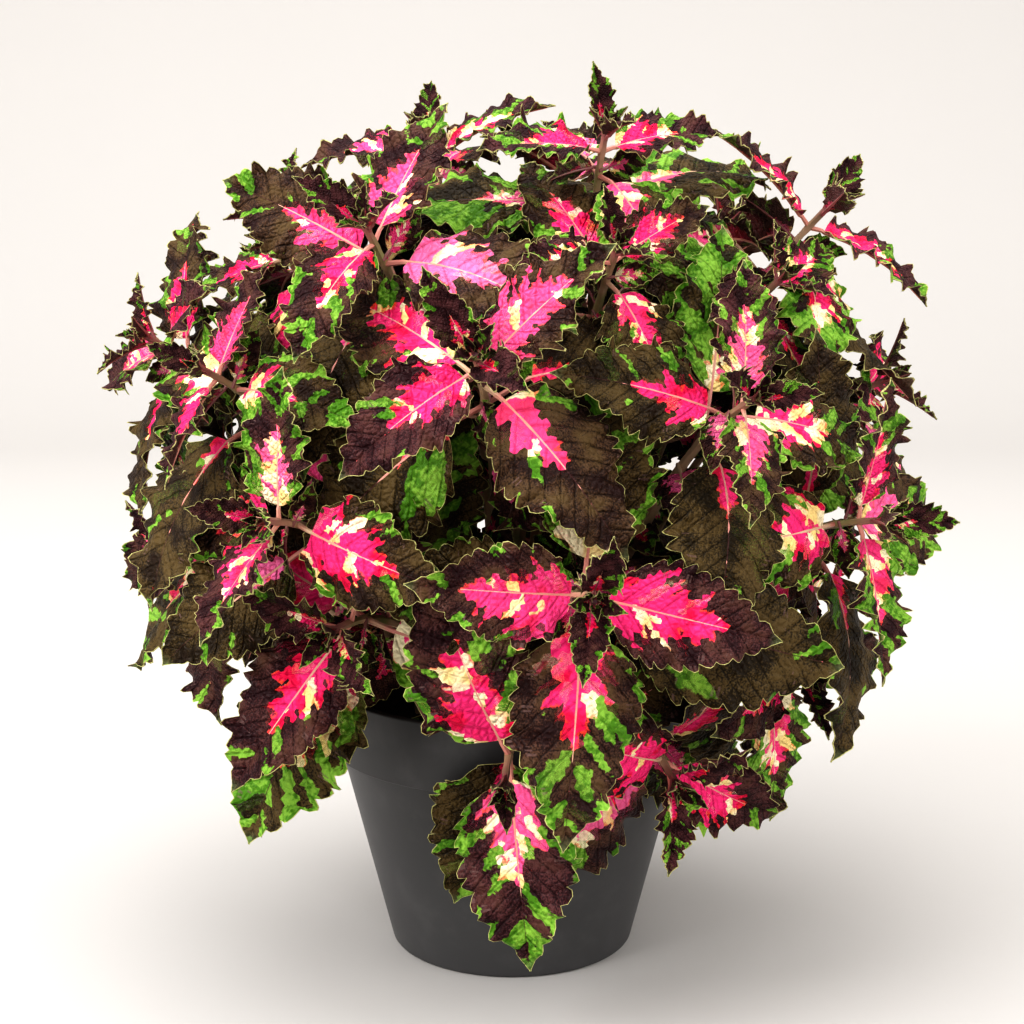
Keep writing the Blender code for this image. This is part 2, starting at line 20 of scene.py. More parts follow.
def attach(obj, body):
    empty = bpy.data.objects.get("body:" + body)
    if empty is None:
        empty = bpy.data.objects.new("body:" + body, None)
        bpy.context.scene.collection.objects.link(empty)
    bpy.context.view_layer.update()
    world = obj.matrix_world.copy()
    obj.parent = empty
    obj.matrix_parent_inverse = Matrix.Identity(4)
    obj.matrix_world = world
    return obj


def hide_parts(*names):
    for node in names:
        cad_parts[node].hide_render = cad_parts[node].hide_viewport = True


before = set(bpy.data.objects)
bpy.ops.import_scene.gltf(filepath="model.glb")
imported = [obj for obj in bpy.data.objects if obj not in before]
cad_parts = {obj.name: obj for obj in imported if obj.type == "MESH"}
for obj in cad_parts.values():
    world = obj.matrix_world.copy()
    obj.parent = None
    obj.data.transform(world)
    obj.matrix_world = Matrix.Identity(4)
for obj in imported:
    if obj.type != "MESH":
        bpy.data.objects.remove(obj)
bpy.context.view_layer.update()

LOG = logging.getLogger("coleus")
BODY = "root"

Colour = tuple[float, float, float]

# Which turned steps and clearances the model's solids were grown round
POT_STEPS = 32
SOIL_STEPS = 16
ROUTE_SAMPLES = 48
PROXY_STEPS = 14
CLEARANCE = 0.0006
OWN_CLEARANCE = 0.0002
LOWEST_LEAF = 0.012
TRIALS = 90

# The dome that the growing tips stand on, and the pull of the light on them
DOME_CENTRE = Vector((0.005, 0.0, 0.250))
LIGHT_PULL = Vector((0.0, -0.32, 0.20))
BRANCH_RISES = (0.038, 0.018)
ROOT_DEPTH = 0.030

# The square stems' half side: at the tip, its growth down the stem, and its most
TIP_HALF = 0.0013
STEM_SWELL = 0.0105
STEM_HALF_MOST = 0.0034

# The solid leaves: rib thickness, outline, coarse teeth and hang
RIB_HALF_LEAST = 0.0006
RIB_HALF_GAIN = 0.0060
WIDEST_AT = 0.34
BASE_ROUND = 0.6
TIP_TAPER = 1.17
TEETH_FROM = 0.05
TEETH_TO = 0.90
TOOTH_DEPTH = 0.052
TOOTH_PEAK = 0.60
TOOTH_LEAN = 0.25
EDGE_WAVE = 0.10
HANG_STRAIGHT = 0.3

# A leaf's side veins: their spacing at the rib in leaf lengths, and how they lean and curve towards its tip
VEIN_SPACING = 0.105
VEIN_LEAN = 0.75
VEIN_CURVE = 0.9
VEIN_STAGGER = 0.3


class Side(Enum):
    """The two halves of a leaf."""

    LEFT = -1
    RIGHT = 1


@dataclass(frozen=True)
class Tier:
    """One pair of leaves down a shoot, from the young pair at its tip to the old pair.

    Lengths are in metres at vigour 1, breadth is the half width as a share of the blade, and angles are in degrees.
    """

    below_tip: float
    petiole: float
    blade: float
    breadth: float
    lean: float
    knee: float
    droop: float
    fold: float
    sag: float
    teeth: int
    ribs: int
    vigour_share: float

    def scale(self, vigour: float) -> float:
        """How far a shoot's vigour stretches this pair."""
        return 1 + (vigour - 1) * self.vigour_share


TIERS = (
    Tier(0.005, 0.004, 0.031, 0.26, 36, 4, 24, 26, 0.1, 3, 1, 1.0),
    Tier(0.013, 0.006, 0.060, 0.30, 66, 6, 34, 18, 0.2, 4, 1, 1.0),
    Tier(0.026, 0.012, 0.079, 0.31, 74, 10, 44, 14, 0.3, 4, 2, 0.7),
    Tier(0.048, 0.024, 0.092, 0.32, 60, 24, 46, 10, 0.3, 5, 2, 0.2),
)


@dataclass(frozen=True)
class Shoot:
    """A growing tip: its bearing from the front towards +X, its latitude on the dome, and the turn of its pairs.

    Shed lists the leaves that it has lost, each by its pair, from 0 for the youngest, and its side, 0 or 1.
    """

    bearing: float
    latitude: float
    reach: float
    turn: float
    vigour: float = 1.0
    shed: tuple[tuple[int, int], ...] = ()


@dataclass(frozen=True)
class LeafyStem:
    """One stem from the soil. Its first shoot is the leader, and the others branch from its faces."""

    name: str
    soil_bearing: float
    soil_radius: float
    shoots: tuple[Shoot, ...]


STEMS = (
    LeafyStem("stem_top", -80, 0.006, (
        Shoot(-80, 74, 0.172, 30),
        Shoot(31, 66, 0.184, 5, 0.95),
        Shoot(160, 62, 0.174, 40),
    )),
    LeafyStem("stem_front_left", -35, 0.030, (
        Shoot(-34, 45, 0.180, 80, 1.1),
        Shoot(-38, 0, 0.186, 80),
        Shoot(-32, -18, 0.170, 65, 1.4),
    )),
    LeafyStem("stem_front", -5, 0.046, (
        Shoot(-7, 24, 0.184, 40, 1.25),
        Shoot(9, -8, 0.190, -10, 1.25),
        Shoot(-3, -37, 0.194, 103, 1.52, ((0, 0), (0, 1), (2, 0))),
    )),
    LeafyStem("stem_front_right", 26, 0.041, (
        Shoot(21, 45, 0.165, 20, 0.85),
        Shoot(35, 17, 0.184, 80, 0.95),
        Shoot(28, -40, 0.194, -35, 1.25),
    )),
    LeafyStem("stem_right_front", 62, 0.052, (
        Shoot(62, 36, 0.170, 10, 0.8),
        Shoot(56, -2, 0.198, 85, 1.1),
        Shoot(54, -27, 0.184, 10),
    )),
    LeafyStem("stem_left_front", -66, 0.050, (
        Shoot(-68, 42, 0.172, 45, 0.9),
        Shoot(-54, 19, 0.190, 80, 0.85),
        Shoot(-66, -8, 0.186, 30, 0.9),
    )),
    LeafyStem("stem_left", -100, 0.040, (
        Shoot(-104, 45, 0.178, 20),
        Shoot(-83, 20, 0.198, 25, 1.0),
        Shoot(-98, -12, 0.184, 10),
    )),
    LeafyStem("stem_right", 92, 0.034, (
        Shoot(84, 41, 0.200, -60, 1.15),
        Shoot(92, 13, 0.190, 10),
        Shoot(90, -22, 0.184, 70, 1.0, ((3, 0),)),
    )),
    LeafyStem("stem_back_right", 128, 0.046, (
        Shoot(124, 42, 0.178, 15),
        Shoot(126, 8, 0.186, 50),
        Shoot(122, -26, 0.180, 5),
    )),
    LeafyStem("stem_back", 168, 0.036, (
        Shoot(164, 28, 0.184, 0, 1.1),
        Shoot(158, -10, 0.184, 35),
    )),
    LeafyStem("stem_back_left", -150, 0.048, (
        Shoot(-146, 44, 0.178, 30),
        Shoot(-162, 12, 0.186, 65),
        Shoot(-156, -24, 0.180, 15),
    )),
    LeafyStem("stem_left_back", -128, 0.054, (
        Shoot(-124, 16, 0.186, 25),
        Shoot(-130, -18, 0.182, 60),
    )),
)


def turned(vector: Vector, axis: Vector, degrees: float) -> Vector:
    """The vector turned about an axis."""
    return Matrix.Rotation(math.radians(degrees), 3, axis) @ vector


def on_bearing(bearing: float, radius: float, height: float) -> Vector:
    """A point at a radius from the pot's axis, at a bearing from the front towards +X."""
    angle = math.radians(bearing)
    return Vector((radius * math.sin(angle), -radius * math.cos(angle), height))


def stem_half(distance: float) -> float:
    """Half the stem's side at a distance down from the tip."""
    return min(TIP_HALF + STEM_SWELL * distance, STEM_HALF_MOST)


class Route:
    """A stem's curve from its foot to its tip, with the frame of its square section all along it."""

    def __init__(self, foot: Vector, foot_way: Vector, tip: Vector, tip_way: Vector, turn: float) -> None:
        """Lays the curve.

        Args:
            foot: where it starts, in the soil or on its leader.
            foot_way: its direction there.
            tip: where it ends.
            tip_way: its direction there.
            turn: the turn of its section about its axis at the tip, in degrees.
        """
        reach = (tip - foot).length
        handles = (foot, foot + foot_way * 0.38 * reach, tip - tip_way * 0.42 * reach, tip)
        self.points = [self.cubic(handles, k / ROUTE_SAMPLES) for k in range(ROUTE_SAMPLES, -1, -1)]
        ways = [(self.points[k] - self.points[k + 1]).normalized() for k in range(ROUTE_SAMPLES)]
        self.ways = [tip_way, *ways[1:], foot_way]
        start = Vector((0, 0, 1)) - tip_way * tip_way.z
        if start.length < 0.2:
            start = Vector((0, -1, 0)) + tip_way * tip_way.y
        self.sides = [turned(start.normalized(), tip_way, turn)]
        self.distances = [0.0]
        for k in range(ROUTE_SAMPLES):
            bend = self.ways[k].rotation_difference(self.ways[k + 1])
            side = bend @ self.sides[-1]
            self.sides.append((side - self.ways[k + 1] * side.dot(self.ways[k + 1])).normalized())
            self.distances.append(self.distances[-1] + (self.points[k] - self.points[k + 1]).length)
        self.length = self.distances[-1]

    @staticmethod
    def cubic(handles: Sequence[Vector], t: float) -> Vector:
        """A point on the cubic curve of four handles.

        Args:
            handles: the curve's start, its two handles and its end.
            t: how far along, from 0 to 1.

        Returns:
            The point.
        """
        a, b, c, d = handles
        s = 1 - t
        return a * s**3 + b * (3 * s * s * t) + c * (3 * s * t * t) + d * t**3

    def frame(self, distance: float) -> tuple[Vector, Vector, Vector, Vector]:
        """The section's place at a distance down from the tip.

        Args:
            distance: metres from the tip along the curve.

        Returns:
            The point, the way towards the tip, and the section's two sides.
        """
        distance = min(max(distance, 0.0), self.length)
        k = 0
        while k < ROUTE_SAMPLES - 1 and self.distances[k + 1] < distance:
            k += 1
        share = (distance - self.distances[k]) / (self.distances[k + 1] - self.distances[k])
        point = self.points[k].lerp(self.points[k + 1], share)
        way = self.ways[k].lerp(self.ways[k + 1], share).normalized()
        side = self.sides[k].lerp(self.sides[k + 1], share)
        side = (side - way * side.dot(way)).normalized()
        return point, way, side, way.cross(side)

    def square(self, distance: float, half: float) -> list[Vector]:
        """The four corners of the stem.

        Args:
            distance: metres from the tip along the curve.
            half: half the stem's side.

        Returns:
            The corners, in order round the stem.
        """
        point, _, side, other = self.frame(distance)
        corners = ((1, -1), (1, 1), (-1, 1), (-1, -1))
        return [point + side * (half * a) + other * (half * b) for a, b in corners]

    def face_way(self, distance: float, face: int) -> Vector:
        """The way that one of the four faces looks."""
        _, _, side, other = self.frame(distance)
        return (side, other, -side, -other)[face]


@dataclass
class LeafForm:
    """One leaf: where its petiole leaves the stem, and how its blade is bent."""

    tier: Tier
    start: Vector
    way: Vector
    up: Vector
    size: float
    knee: float
    droop: float
    twist: float
    seed: int

    def __post_init__(self) -> None:
        """Works out the blade's own frame and sizes."""
        self.side = self.up.cross(self.way)
        self.blade_start = self.start + self.way * (self.tier.petiole * self.size)
        self.blade_way = turned(self.way, self.side, self.knee)
        self.blade_up = turned(self.up, self.side, self.knee)
        self.length = self.tier.blade * self.size
        self.half_width = self.length * self.tier.breadth
        self.thick = RIB_HALF_LEAST + RIB_HALF_GAIN * self.length
        self.bend = math.radians(max(self.droop, 1.0)) / self.length

    def half_at(self, share: Union[float, np.ndarray]) -> Union[float, np.ndarray]:
        """Half the blade's width: broad near the base, drawn out at the tip.

        Args:
            share: how far along the blade, from 0 to 1.

        Returns:
            Half the width in metres.
        """
        rise = (share / WIDEST_AT) ** BASE_ROUND
        fall = ((1 - share) / (1 - WIDEST_AT)) ** TIP_TAPER
        return self.half_width * rise * fall

    def point(self, share: float, across: float, lift: float = 0.0) -> Vector:
        """A point of the blade.

        Args:
            share: how far along the blade, from 0 to 1.
            across: signed distance from the rib.
            lift: distance off the surface.

        Returns:
            The point in the model's frame.
        """
        angle = self.bend * share * self.length
        ahead = self.blade_way * (math.sin(angle) / self.bend)
        down = self.blade_up * ((1 - math.cos(angle)) / self.bend)
        up = self.blade_up * math.cos(angle) + self.blade_way * math.sin(angle)
        roll = math.radians(self.twist) * share
        side = self.side * math.cos(roll) + up * math.sin(roll)
        up = up * math.cos(roll) - self.side * math.sin(roll)
        fold = math.radians(self.tier.fold)
        out = abs(across)
        rise = out * math.sin(fold) - self.tier.sag * out * out / self.half_width
        return self.blade_start + ahead - down + side * (across * math.cos(fold)) + up * (rise + lift)

    def surface(self, shares: np.ndarray, across: np.ndarray, lift: np.ndarray) -> np.ndarray:
        """Many points of the blade at once, by the same rule as point.

        Args:
            shares: how far along the blade, from 0 to 1.
            across: signed distances from the rib.
            lift: distances off the surface.

        Returns:
            The points, with their three coordinates on the last axis.
        """
        way, up, side = (np.array(v) for v in (self.blade_way, self.blade_up, self.side))
        angle = (self.bend * self.length * shares)[..., None]
        middle = way * (np.sin(angle) / self.bend) - up * ((1 - np.cos(angle)) / self.bend)
        up_here = up * np.cos(angle) + way * np.sin(angle)
        roll = (math.radians(self.twist) * shares)[..., None]
        side_here = side * np.cos(roll) + up_here * np.sin(roll)
        up_here = up_here * np.cos(roll) - side * np.sin(roll)
        fold = math.radians(self.tier.fold)
        out = np.abs(across)
        rise = out * math.sin(fold) - self.tier.sag * out * out / self.half_width
        flat = side_here * (across * math.cos(fold))[..., None]
        return np.array(self.blade_start) + middle + flat + up_here * (rise + lift)[..., None]

    def edge(self, sign: int, margin: float = 0.0) -> list[tuple[float, float, float]]:
        """The solid leaf's coarse toothed edge on one side.

        Args:
            sign: 1 or -1, the side.
            margin: how much wider to make it.

        Returns:
            (share, across, lift) of notch and tooth in turn, from base to tip.
        """
        rng = random.Random(self.seed * 2 + (sign > 0))
        pitch = (TEETH_TO - TEETH_FROM) / self.tier.teeth
        found = []
        for tooth in range(self.tier.teeth):
            notch = TEETH_FROM + tooth * pitch
            peak = notch + TOOTH_PEAK * pitch
            grow = rng.uniform(0.75, 1.25)
            lift = rng.uniform(-1, 1) * EDGE_WAVE * self.half_width
            narrow = self.half_at(notch)
            depth = TOOTH_DEPTH * self.length * (0.4 + 0.6 * self.half_at(peak) / self.half_width)
            inner = narrow - 0.5 * depth if tooth else 0.8 * narrow
            outer = self.half_at(peak) + 0.5 * depth * grow
            found.append((notch, sign * (inner + margin), 0.0))
            found.append((peak + TOOTH_LEAN * pitch, sign * (outer + margin), lift))
        return found


def zipped(inner: list[tuple[float, int]], outer: list[tuple[float, int]]) -> list[tuple[int, int, int]]:
    """Triangles between two chains of points.

    Args:
        inner: (share, index) along the rib.
        outer: (share, index) along the edge. Both end on one shared point.

    Returns:
        The triangles' indices.
    """
    faces = []
    i = j = 0
    while i < len(inner) - 1 or j < len(outer) - 1:
        if j == len(outer) - 1 or (i < len(inner) - 1 and inner[i + 1][0] <= outer[j + 1][0]):
            face = (inner[i][1], outer[j][1], inner[i + 1][1])
            i += 1
        else:
            face = (inner[i][1], outer[j][1], outer[j + 1][1])
            j += 1
        if len(set(face)) == 3:
            faces.append(face)
    return faces


def bridged(lower: list[int], upper: list[int]) -> list[tuple[int, int, int, int]]:
    """The faces between two rings of four indices."""
    return [(lower[k], lower[(k + 1) % 4], upper[(k + 1) % 4], upper[k]) for k in range(4)]


def add_ring(points: list[Vector], corners: list[Vector]) -> list[int]:
    """The indices of four new points."""
    points += corners
    return list(range(len(points) - 4, len(points)))


@dataclass
class Solid:
    """A standing solid that a new leaf must stay clear of. Shoot is the number of the shoot whose stem it is."""

    owner: str
    shoot: int
    faces: list
    tree: BVHTree
    low: Vector
    high: Vector

    @classmethod
    def of(cls, owner: str, shoot: int, points: list, faces: list) -> "Solid":
        """The solid of these points and faces.

        Args:
            owner: the node that it belongs to.
            shoot: the number of its shoot, or -1 for none.
            points: its points.
            faces: its faces, as indices of the points.

        Returns:
            The solid.
        """
        low = Vector([min(p[k] for p in points) for k in range(3)])
        high = Vector([max(p[k] for p in points) for k in range(3)])
        return cls(owner, shoot, faces, BVHTree.FromPolygons(points, faces), low, high)

    def crosses_itself(self) -> bool:
        """Do two of its own faces cross that share no corner?"""
        return any(not set(self.faces[a]) & set(self.faces[b]) for a, b in self.tree.overlap(self.tree))

    def meets(self, other: "Solid") -> bool:
        """Do the surfaces of the two solids cross?"""
        if any(self.low[k] > other.high[k] or other.low[k] > self.high[k] for k in range(3)):
            return False
        return bool(self.tree.overlap(other.tree))


@dataclass
class Grown:
    """A shoot on its route, with the leaves that found room on it."""

    owner: str
    number: int
    shoot: Shoot
    route: Route
    foot: Vector
    leads: bool
    leaves: dict[tuple[int, int], LeafForm] = field(default_factory=dict)
    axils: list[LeafForm] = field(default_factory=list)

    def stem_solid(self) -> Solid:
        """Its bare stem as a solid, a clearance larger."""
        points: list[Vector] = []
        faces: list = []
        rings = []
        for k in range(PROXY_STEPS + 1):
            distance = self.route.length * k / PROXY_STEPS
            rings.append(add_ring(points, self.route.square(distance, stem_half(distance) + CLEARANCE)))
        for upper, lower in zip(rings, rings[1:]):
            faces += bridged(lower, upper)
        return Solid.of(self.owner, self.number, points, faces)

    def leaf_solid(self, form: LeafForm, spare: float, petiole_from: float = 0.05) -> Solid:
        """A leaf as a coarse solid.

        Args:
            form: the leaf.
            spare: how much thicker and wider to make it.
            petiole_from: the share of the petiole that is left out at the stem.

        Returns:
            The solid, for testing what it crosses.
        """
        points: list[Vector] = []
        near = add_ring(points, self.petiole_ring(form, petiole_from, spare))
        far = add_ring(points, self.petiole_ring(form, 1.0, spare))
        faces = [tuple(near[::-1]), *bridged(near, far)]
        self.add_blade(points, faces, form, far, spare)
        return Solid.of(self.owner, -1, points, faces)

    @staticmethod
    def petiole_ring(form: LeafForm, share: float, spare: float) -> list[Vector]:
        """Four points round a petiole.

        Args:
            form: the leaf.
            share: how far along the petiole, from 0 to 1.
            spare: how much thicker to make it.

        Returns:
            The points.
        """
        middle = form.start.lerp(form.blade_start, share)
        side = form.side * (form.thick + spare)
        up = form.up * (form.thick + spare)
        return [middle + side, middle + up, middle - side, middle - up]

    @staticmethod
    def add_blade(points: list[Vector], faces: list, form: LeafForm, ring: list[int], spare: float) -> None:
        """Adds a coarse blade from the four points at its petiole's end.

        Args:
            points: the solid's points, which grow.
            faces: the solid's faces, which grow.
            form: the leaf.
            ring: the indices of the petiole's end.
            spare: how much thicker and wider to make it.
        """
        right, top, left, bottom = ring
        thick = form.thick + spare
        tip = len(points)
        points.append(form.point(1.0, 0.0))
        ribs = {}
        for face, lift, first in (("upper", thick, top), ("lower", -thick, bottom)):
            ribs[face] = [(0.0, first)]
            for k in range(form.tier.ribs):
                share = (k + 1) / (form.tier.ribs + 1)
                ribs[face].append((share, len(points)))
                points.append(form.point(share, 0.0, lift))
            ribs[face].append((1.0, tip))
        for sign, first in ((1, right), (-1, left)):
            edge = [(0.0, first)]
            for share, across, lift in form.edge(sign, spare):
                edge.append((share, len(points)))
                points.append(form.point(share, across, lift))
            edge.append((1.0, tip))
            faces += [face[::-sign] for face in zipped(ribs["upper"], edge)]
            faces += [face[::sign] for face in zipped(ribs["lower"], edge)]

    def leaf_form(self, tier: Tier, order: int, side: int, trial: int) -> LeafForm:
        """The leaf of one tier and side, moved from its natural place by a draw that widens with each trial.

        Args:
            tier: the pair's sizes.
            order: the pair's number, which crosses it with its neighbours and seeds its draws.
            side: 0 or 1, which leaf of the pair.
            trial: 0 for the natural place, and more for each place tried after it.

        Returns:
            The leaf's form.
        """
        seed = self.number * 100 + order * 10 + side
        nature = random.Random(seed)
        draw = random.Random(seed * 1000 + trial)
        wide = 0.35 + trial / 26 if trial else 0.0
        stretch = tier.scale(self.shoot.vigour)
        distance = tier.below_tip * stretch
        point, axis, _, _ = self.route.frame(distance)
        out = self.route.face_way(distance, 2 * side + order % 2)
        lean = math.radians(tier.lean + nature.gauss(0, 4) + draw.gauss(0, 7) * wide)
        swing = nature.gauss(0, 5) + draw.gauss(0, 9) * wide
        roll = nature.gauss(0, 5) + draw.gauss(0, 11) * wide
        swung = turned(out, axis, swing)
        way = swung * math.sin(lean) + axis * math.cos(lean)
        up = turned(axis * math.sin(lean) - swung * math.cos(lean), way, roll)
        weight = HANG_STRAIGHT + (1 - HANG_STRAIGHT) * math.hypot(way.x, way.y)
        return LeafForm(
            tier=tier,
            start=point + out * stem_half(distance),
            way=way,
            up=up,
            size=stretch * nature.uniform(0.92, 1.06) * (1 - 0.0035 * trial),
            knee=tier.knee * weight + nature.gauss(0, 4) + draw.gauss(0, 8) * wide,
            droop=tier.droop * weight * nature.uniform(0.7, 1.3) + draw.gauss(0, 10) * wide,
            twist=nature.gauss(0, 9) + draw.gauss(0, 6) * wide,
            seed=seed,
        )

    def fits(self, form: LeafForm, placed: list[Solid]) -> bool:
        """Does the leaf's coarse form cross nothing?

        Args:
            form: the leaf.
            placed: what already stands.

        Returns:
            True where it keeps its gaps, to other stems wide ones.
        """
        wide = self.leaf_solid(form, CLEARANCE)
        if wide.low.z < LOWEST_LEAF:
            return False
        close = self.leaf_solid(form, OWN_CLEARANCE)
        bare = self.leaf_solid(form, 0.0, 0.9)
        if bare.crosses_itself():
            return False
        for other in placed:
            if other.owner != self.owner:
                probe = wide
            elif other.shoot == self.number:
                probe = bare
            else:
                probe = close
            if probe.meets(other):
                return False
        return True


def lathed(profile: list[tuple[float, float]], steps: int) -> tuple[list[Vector], list]:
    """The points and faces of a profile turned about the pot's axis.

    Args:
        profile: (radius, height) in order.
        steps: how many turns of it make the circle.

    Returns:
        The points and the quads.
    """
    points = [on_bearing(360 * k / steps, radius, height) for k in range(steps) for radius, height in profile]
    count = len(profile)
    faces = []
    for k in range(steps):
        near = k * count
        far = (k + 1) % steps * count
        faces += [(near + j, near + j + 1, far + j + 1, far + j) for j in range(count - 1)]
    return points, faces


class Number:
    """A number at each point of a surface, worked out by shader nodes. Plain arithmetic on it adds nodes."""

    def __init__(self, tree: bpy.types.NodeTree, socket: bpy.types.NodeSocket) -> None:
        """Wraps a node's output."""
        self.tree = tree
        self.socket = socket

    def reckon(self, operation: str, *others: Union["Number", float]) -> "Number":
        """One Math node on this number and others.

        Args:
            operation: the Math node's operation.
            *others: the second and third inputs.

        Returns:
            The node's result.
        """
        node = self.tree.nodes.new("ShaderNodeMath")
        node.operation = operation
        for k, value in enumerate((self, *others)):
            if isinstance(value, Number):
                self.tree.links.new(value.socket, node.inputs[k])
            else:
                node.inputs[k].default_value = value
        return Number(self.tree, node.outputs[0])

    def __add__(self, other: Union["Number", float]) -> "Number":
        """Sum."""
        return self.reckon("ADD", other)

    def __sub__(self, other: Union["Number", float]) -> "Number":
        """Difference."""
        return self.reckon("SUBTRACT", other)

    def __mul__(self, other: Union["Number", float]) -> "Number":
        """Product."""
        return self.reckon("MULTIPLY", other)

    def __truediv__(self, other: Union["Number", float]) -> "Number":
        """Quotient."""
        return self.reckon("DIVIDE", other)

    def power(self, other: float) -> "Number":
        """This number to a power."""
        return self.reckon("POWER", other)

    def least(self, other: Union["Number", float]) -> "Number":
        """The smaller of the two."""
        return self.reckon("MINIMUM", other)

    def most(self, other: Union["Number", float]) -> "Number":
        """The larger of the two."""
        return self.reckon("MAXIMUM", other)

    def flipped(self) -> "Number":
        """One minus this number."""
        return self.reckon("MULTIPLY_ADD", -1.0, 1.0)

    def ramp(self, low: float, high: float) -> "Number":
        """A smooth step.

        Args:
            low: where it leaves 0.
            high: where it reaches 1.

        Returns:
            The step.
        """
        node = self.tree.nodes.new("ShaderNodeMapRange")
        node.interpolation_type = "SMOOTHSTEP"
        self.tree.links.new(self.socket, node.inputs["Value"])
        node.inputs["From Min"].default_value = low
        node.inputs["From Max"].default_value = high
        return Number(self.tree, node.outputs["Result"])


class Palette:
    """Builds one material: its numbers, its colour mixes, and the Principled shader that they feed."""

    def __init__(self, name: str, colour: Colour) -> None:
        """Starts a material.

        Args:
            name: the material's name.
            colour: its mean colour, for plain views.
        """
        self.material = bpy.data.materials.new(name)
        self.material.use_nodes = True
        self.material.diffuse_color = (*colour, 1.0)
        self.tree = self.material.node_tree
        self.shader = self.tree.nodes["Principled BSDF"]

    def vector(self, x: Union[Number, float], y: Union[Number, float], z: Union[Number, float]) -> Number:
        """Three numbers as one vector.

        Args:
            x: the first number.
            y: the second.
            z: the third.

        Returns:
            The vector.
        """
        node = self.tree.nodes.new("ShaderNodeCombineXYZ")
        for socket, value in zip(node.inputs, (x, y, z)):
            if isinstance(value, Number):
                self.tree.links.new(value.socket, socket)
            else:
                socket.default_value = value
        return Number(self.tree, node.outputs[0])

    def channels(self, attribute: str) -> list[Number]:
        """The four channels of a colour attribute of the mesh.

        Args:
            attribute: the attribute's name.

        Returns:
            The channels.
        """
        node = self.tree.nodes.new("ShaderNodeAttribute")
        node.attribute_name = attribute
        split = self.tree.nodes.new("ShaderNodeSeparateColor")
        self.tree.links.new(node.outputs["Color"], split.inputs[0])
        return [*(Number(self.tree, socket) for socket in split.outputs), Number(self.tree, node.outputs["Alpha"])]

    def leaf_place(self) -> tuple[Number, Number]:
        """The leaf's own coordinates: signed distance from the rib and distance from the base, in leaf lengths."""
        node = self.tree.nodes.new("ShaderNodeUVMap")
        node.uv_map = Skin.MAP
        split = self.tree.nodes.new("ShaderNodeSeparateXYZ")
        self.tree.links.new(node.outputs[0], split.inputs[0])
        return Number(self.tree, split.outputs[0]), Number(self.tree, split.outputs[1])

    def object_place(self) -> Number:
        """The point in the object's own coordinates, in metres."""
        node = self.tree.nodes.new("ShaderNodeTexCoord")
        return Number(self.tree, node.outputs["Object"])

    def cloud(self, place: Number, scale: float, detail: float, rough: float = 0.5, solid: bool = False) -> Number:
        """Soft noise about 0.5.

        Args:
            place: the coordinates that it is read at.
            scale: how fine it is.
            detail: how many finer layers it has.
            rough: how strong those layers are.
            solid: whether it varies in depth too, and not only across a leaf.

        Returns:
            The noise.
        """
        node = self.tree.nodes.new("ShaderNodeTexNoise")
        node.noise_dimensions = "3D" if solid else "2D"
        node.inputs["Scale"].default_value = scale
        node.inputs["Detail"].default_value = detail
        node.inputs["Roughness"].default_value = rough
        self.tree.links.new(place.socket, node.inputs["Vector"])
        return Number(self.tree, node.outputs[0])

    def dice(self, first: Number, second: Number, third: Number) -> list[Number]:
        """Three random numbers from 0 to 1 that stay the same while the three given ones do.

        Args:
            first: a number that stays the same over a patch.
            second: another.
            third: the leaf's own random number.

        Returns:
            The random numbers.
        """
        node = self.tree.nodes.new("ShaderNodeTexWhiteNoise")
        self.tree.links.new(self.vector(first, second, third * 97.0).socket, node.inputs["Vector"])
        split = self.tree.nodes.new("ShaderNodeSeparateColor")
        self.tree.links.new(node.outputs["Color"], split.inputs[0])
        return [Number(self.tree, socket) for socket in split.outputs]

    def faceted(self, x: Number, y: Number, chance: Number, scale: float, share: float) -> tuple[Number, Number]:
        """Leaf coordinates drawn towards the middles of small angular cells, like those between veinlets.

        Args:
            x: distance from the rib.
            y: distance from the base.
            chance: the leaf's own random number, which moves the cells.
            scale: how many cells a leaf length has.
            share: how far they are drawn.

        Returns:
            The drawn coordinates.
        """
        shift = chance * 30.0
        node = self.tree.nodes.new("ShaderNodeTexVoronoi")
        node.voronoi_dimensions = "2D"
        node.inputs["Scale"].default_value = scale
        self.tree.links.new(self.vector(x + shift, y + shift, 0.0).socket, node.inputs["Vector"])
        split = self.tree.nodes.new("ShaderNodeSeparateXYZ")
        self.tree.links.new(node.outputs["Position"], split.inputs[0])
        middles = [Number(self.tree, split.outputs[k]) - shift for k in (0, 1)]
        return tuple(value + (middle - value) * share for value, middle in zip((x, y), middles))

    def net(self, place: Number, scale: float) -> Number:
        """The distance to the nearest line of an irregular net.

        Args:
            place: the coordinates that it is read at.
            scale: how many meshes of the net fit in a unit.

        Returns:
            The distance, in meshes.
        """
        node = self.tree.nodes.new("ShaderNodeTexVoronoi")
        node.voronoi_dimensions = "2D"
        node.feature = "DISTANCE_TO_EDGE"
        node.inputs["Scale"].default_value = scale
        self.tree.links.new(place.socket, node.inputs["Vector"])
        return Number(self.tree, node.outputs["Distance"])

    def mixed(
        self,
        share: Number,
        first: Union[Colour, bpy.types.NodeSocket],
        second: Union[Colour, bpy.types.NodeSocket],
    ) -> bpy.types.NodeSocket:
        """Two colours mixed.

        Args:
            share: 0 for the first colour, 1 for the second.
            first: a colour or a node's output.
            second: a colour or a node's output.

        Returns:
            The mixed colour.
        """
        node = self.tree.nodes.new("ShaderNodeMix")
        node.data_type = "RGBA"
        self.tree.links.new(share.socket, node.inputs["Factor"])
        for socket, colour in ((node.inputs[6], first), (node.inputs[7], second)):
            if isinstance(colour, tuple):
                socket.default_value = (*colour, 1.0)
            else:
                self.tree.links.new(colour, socket)
        return node.outputs[2]

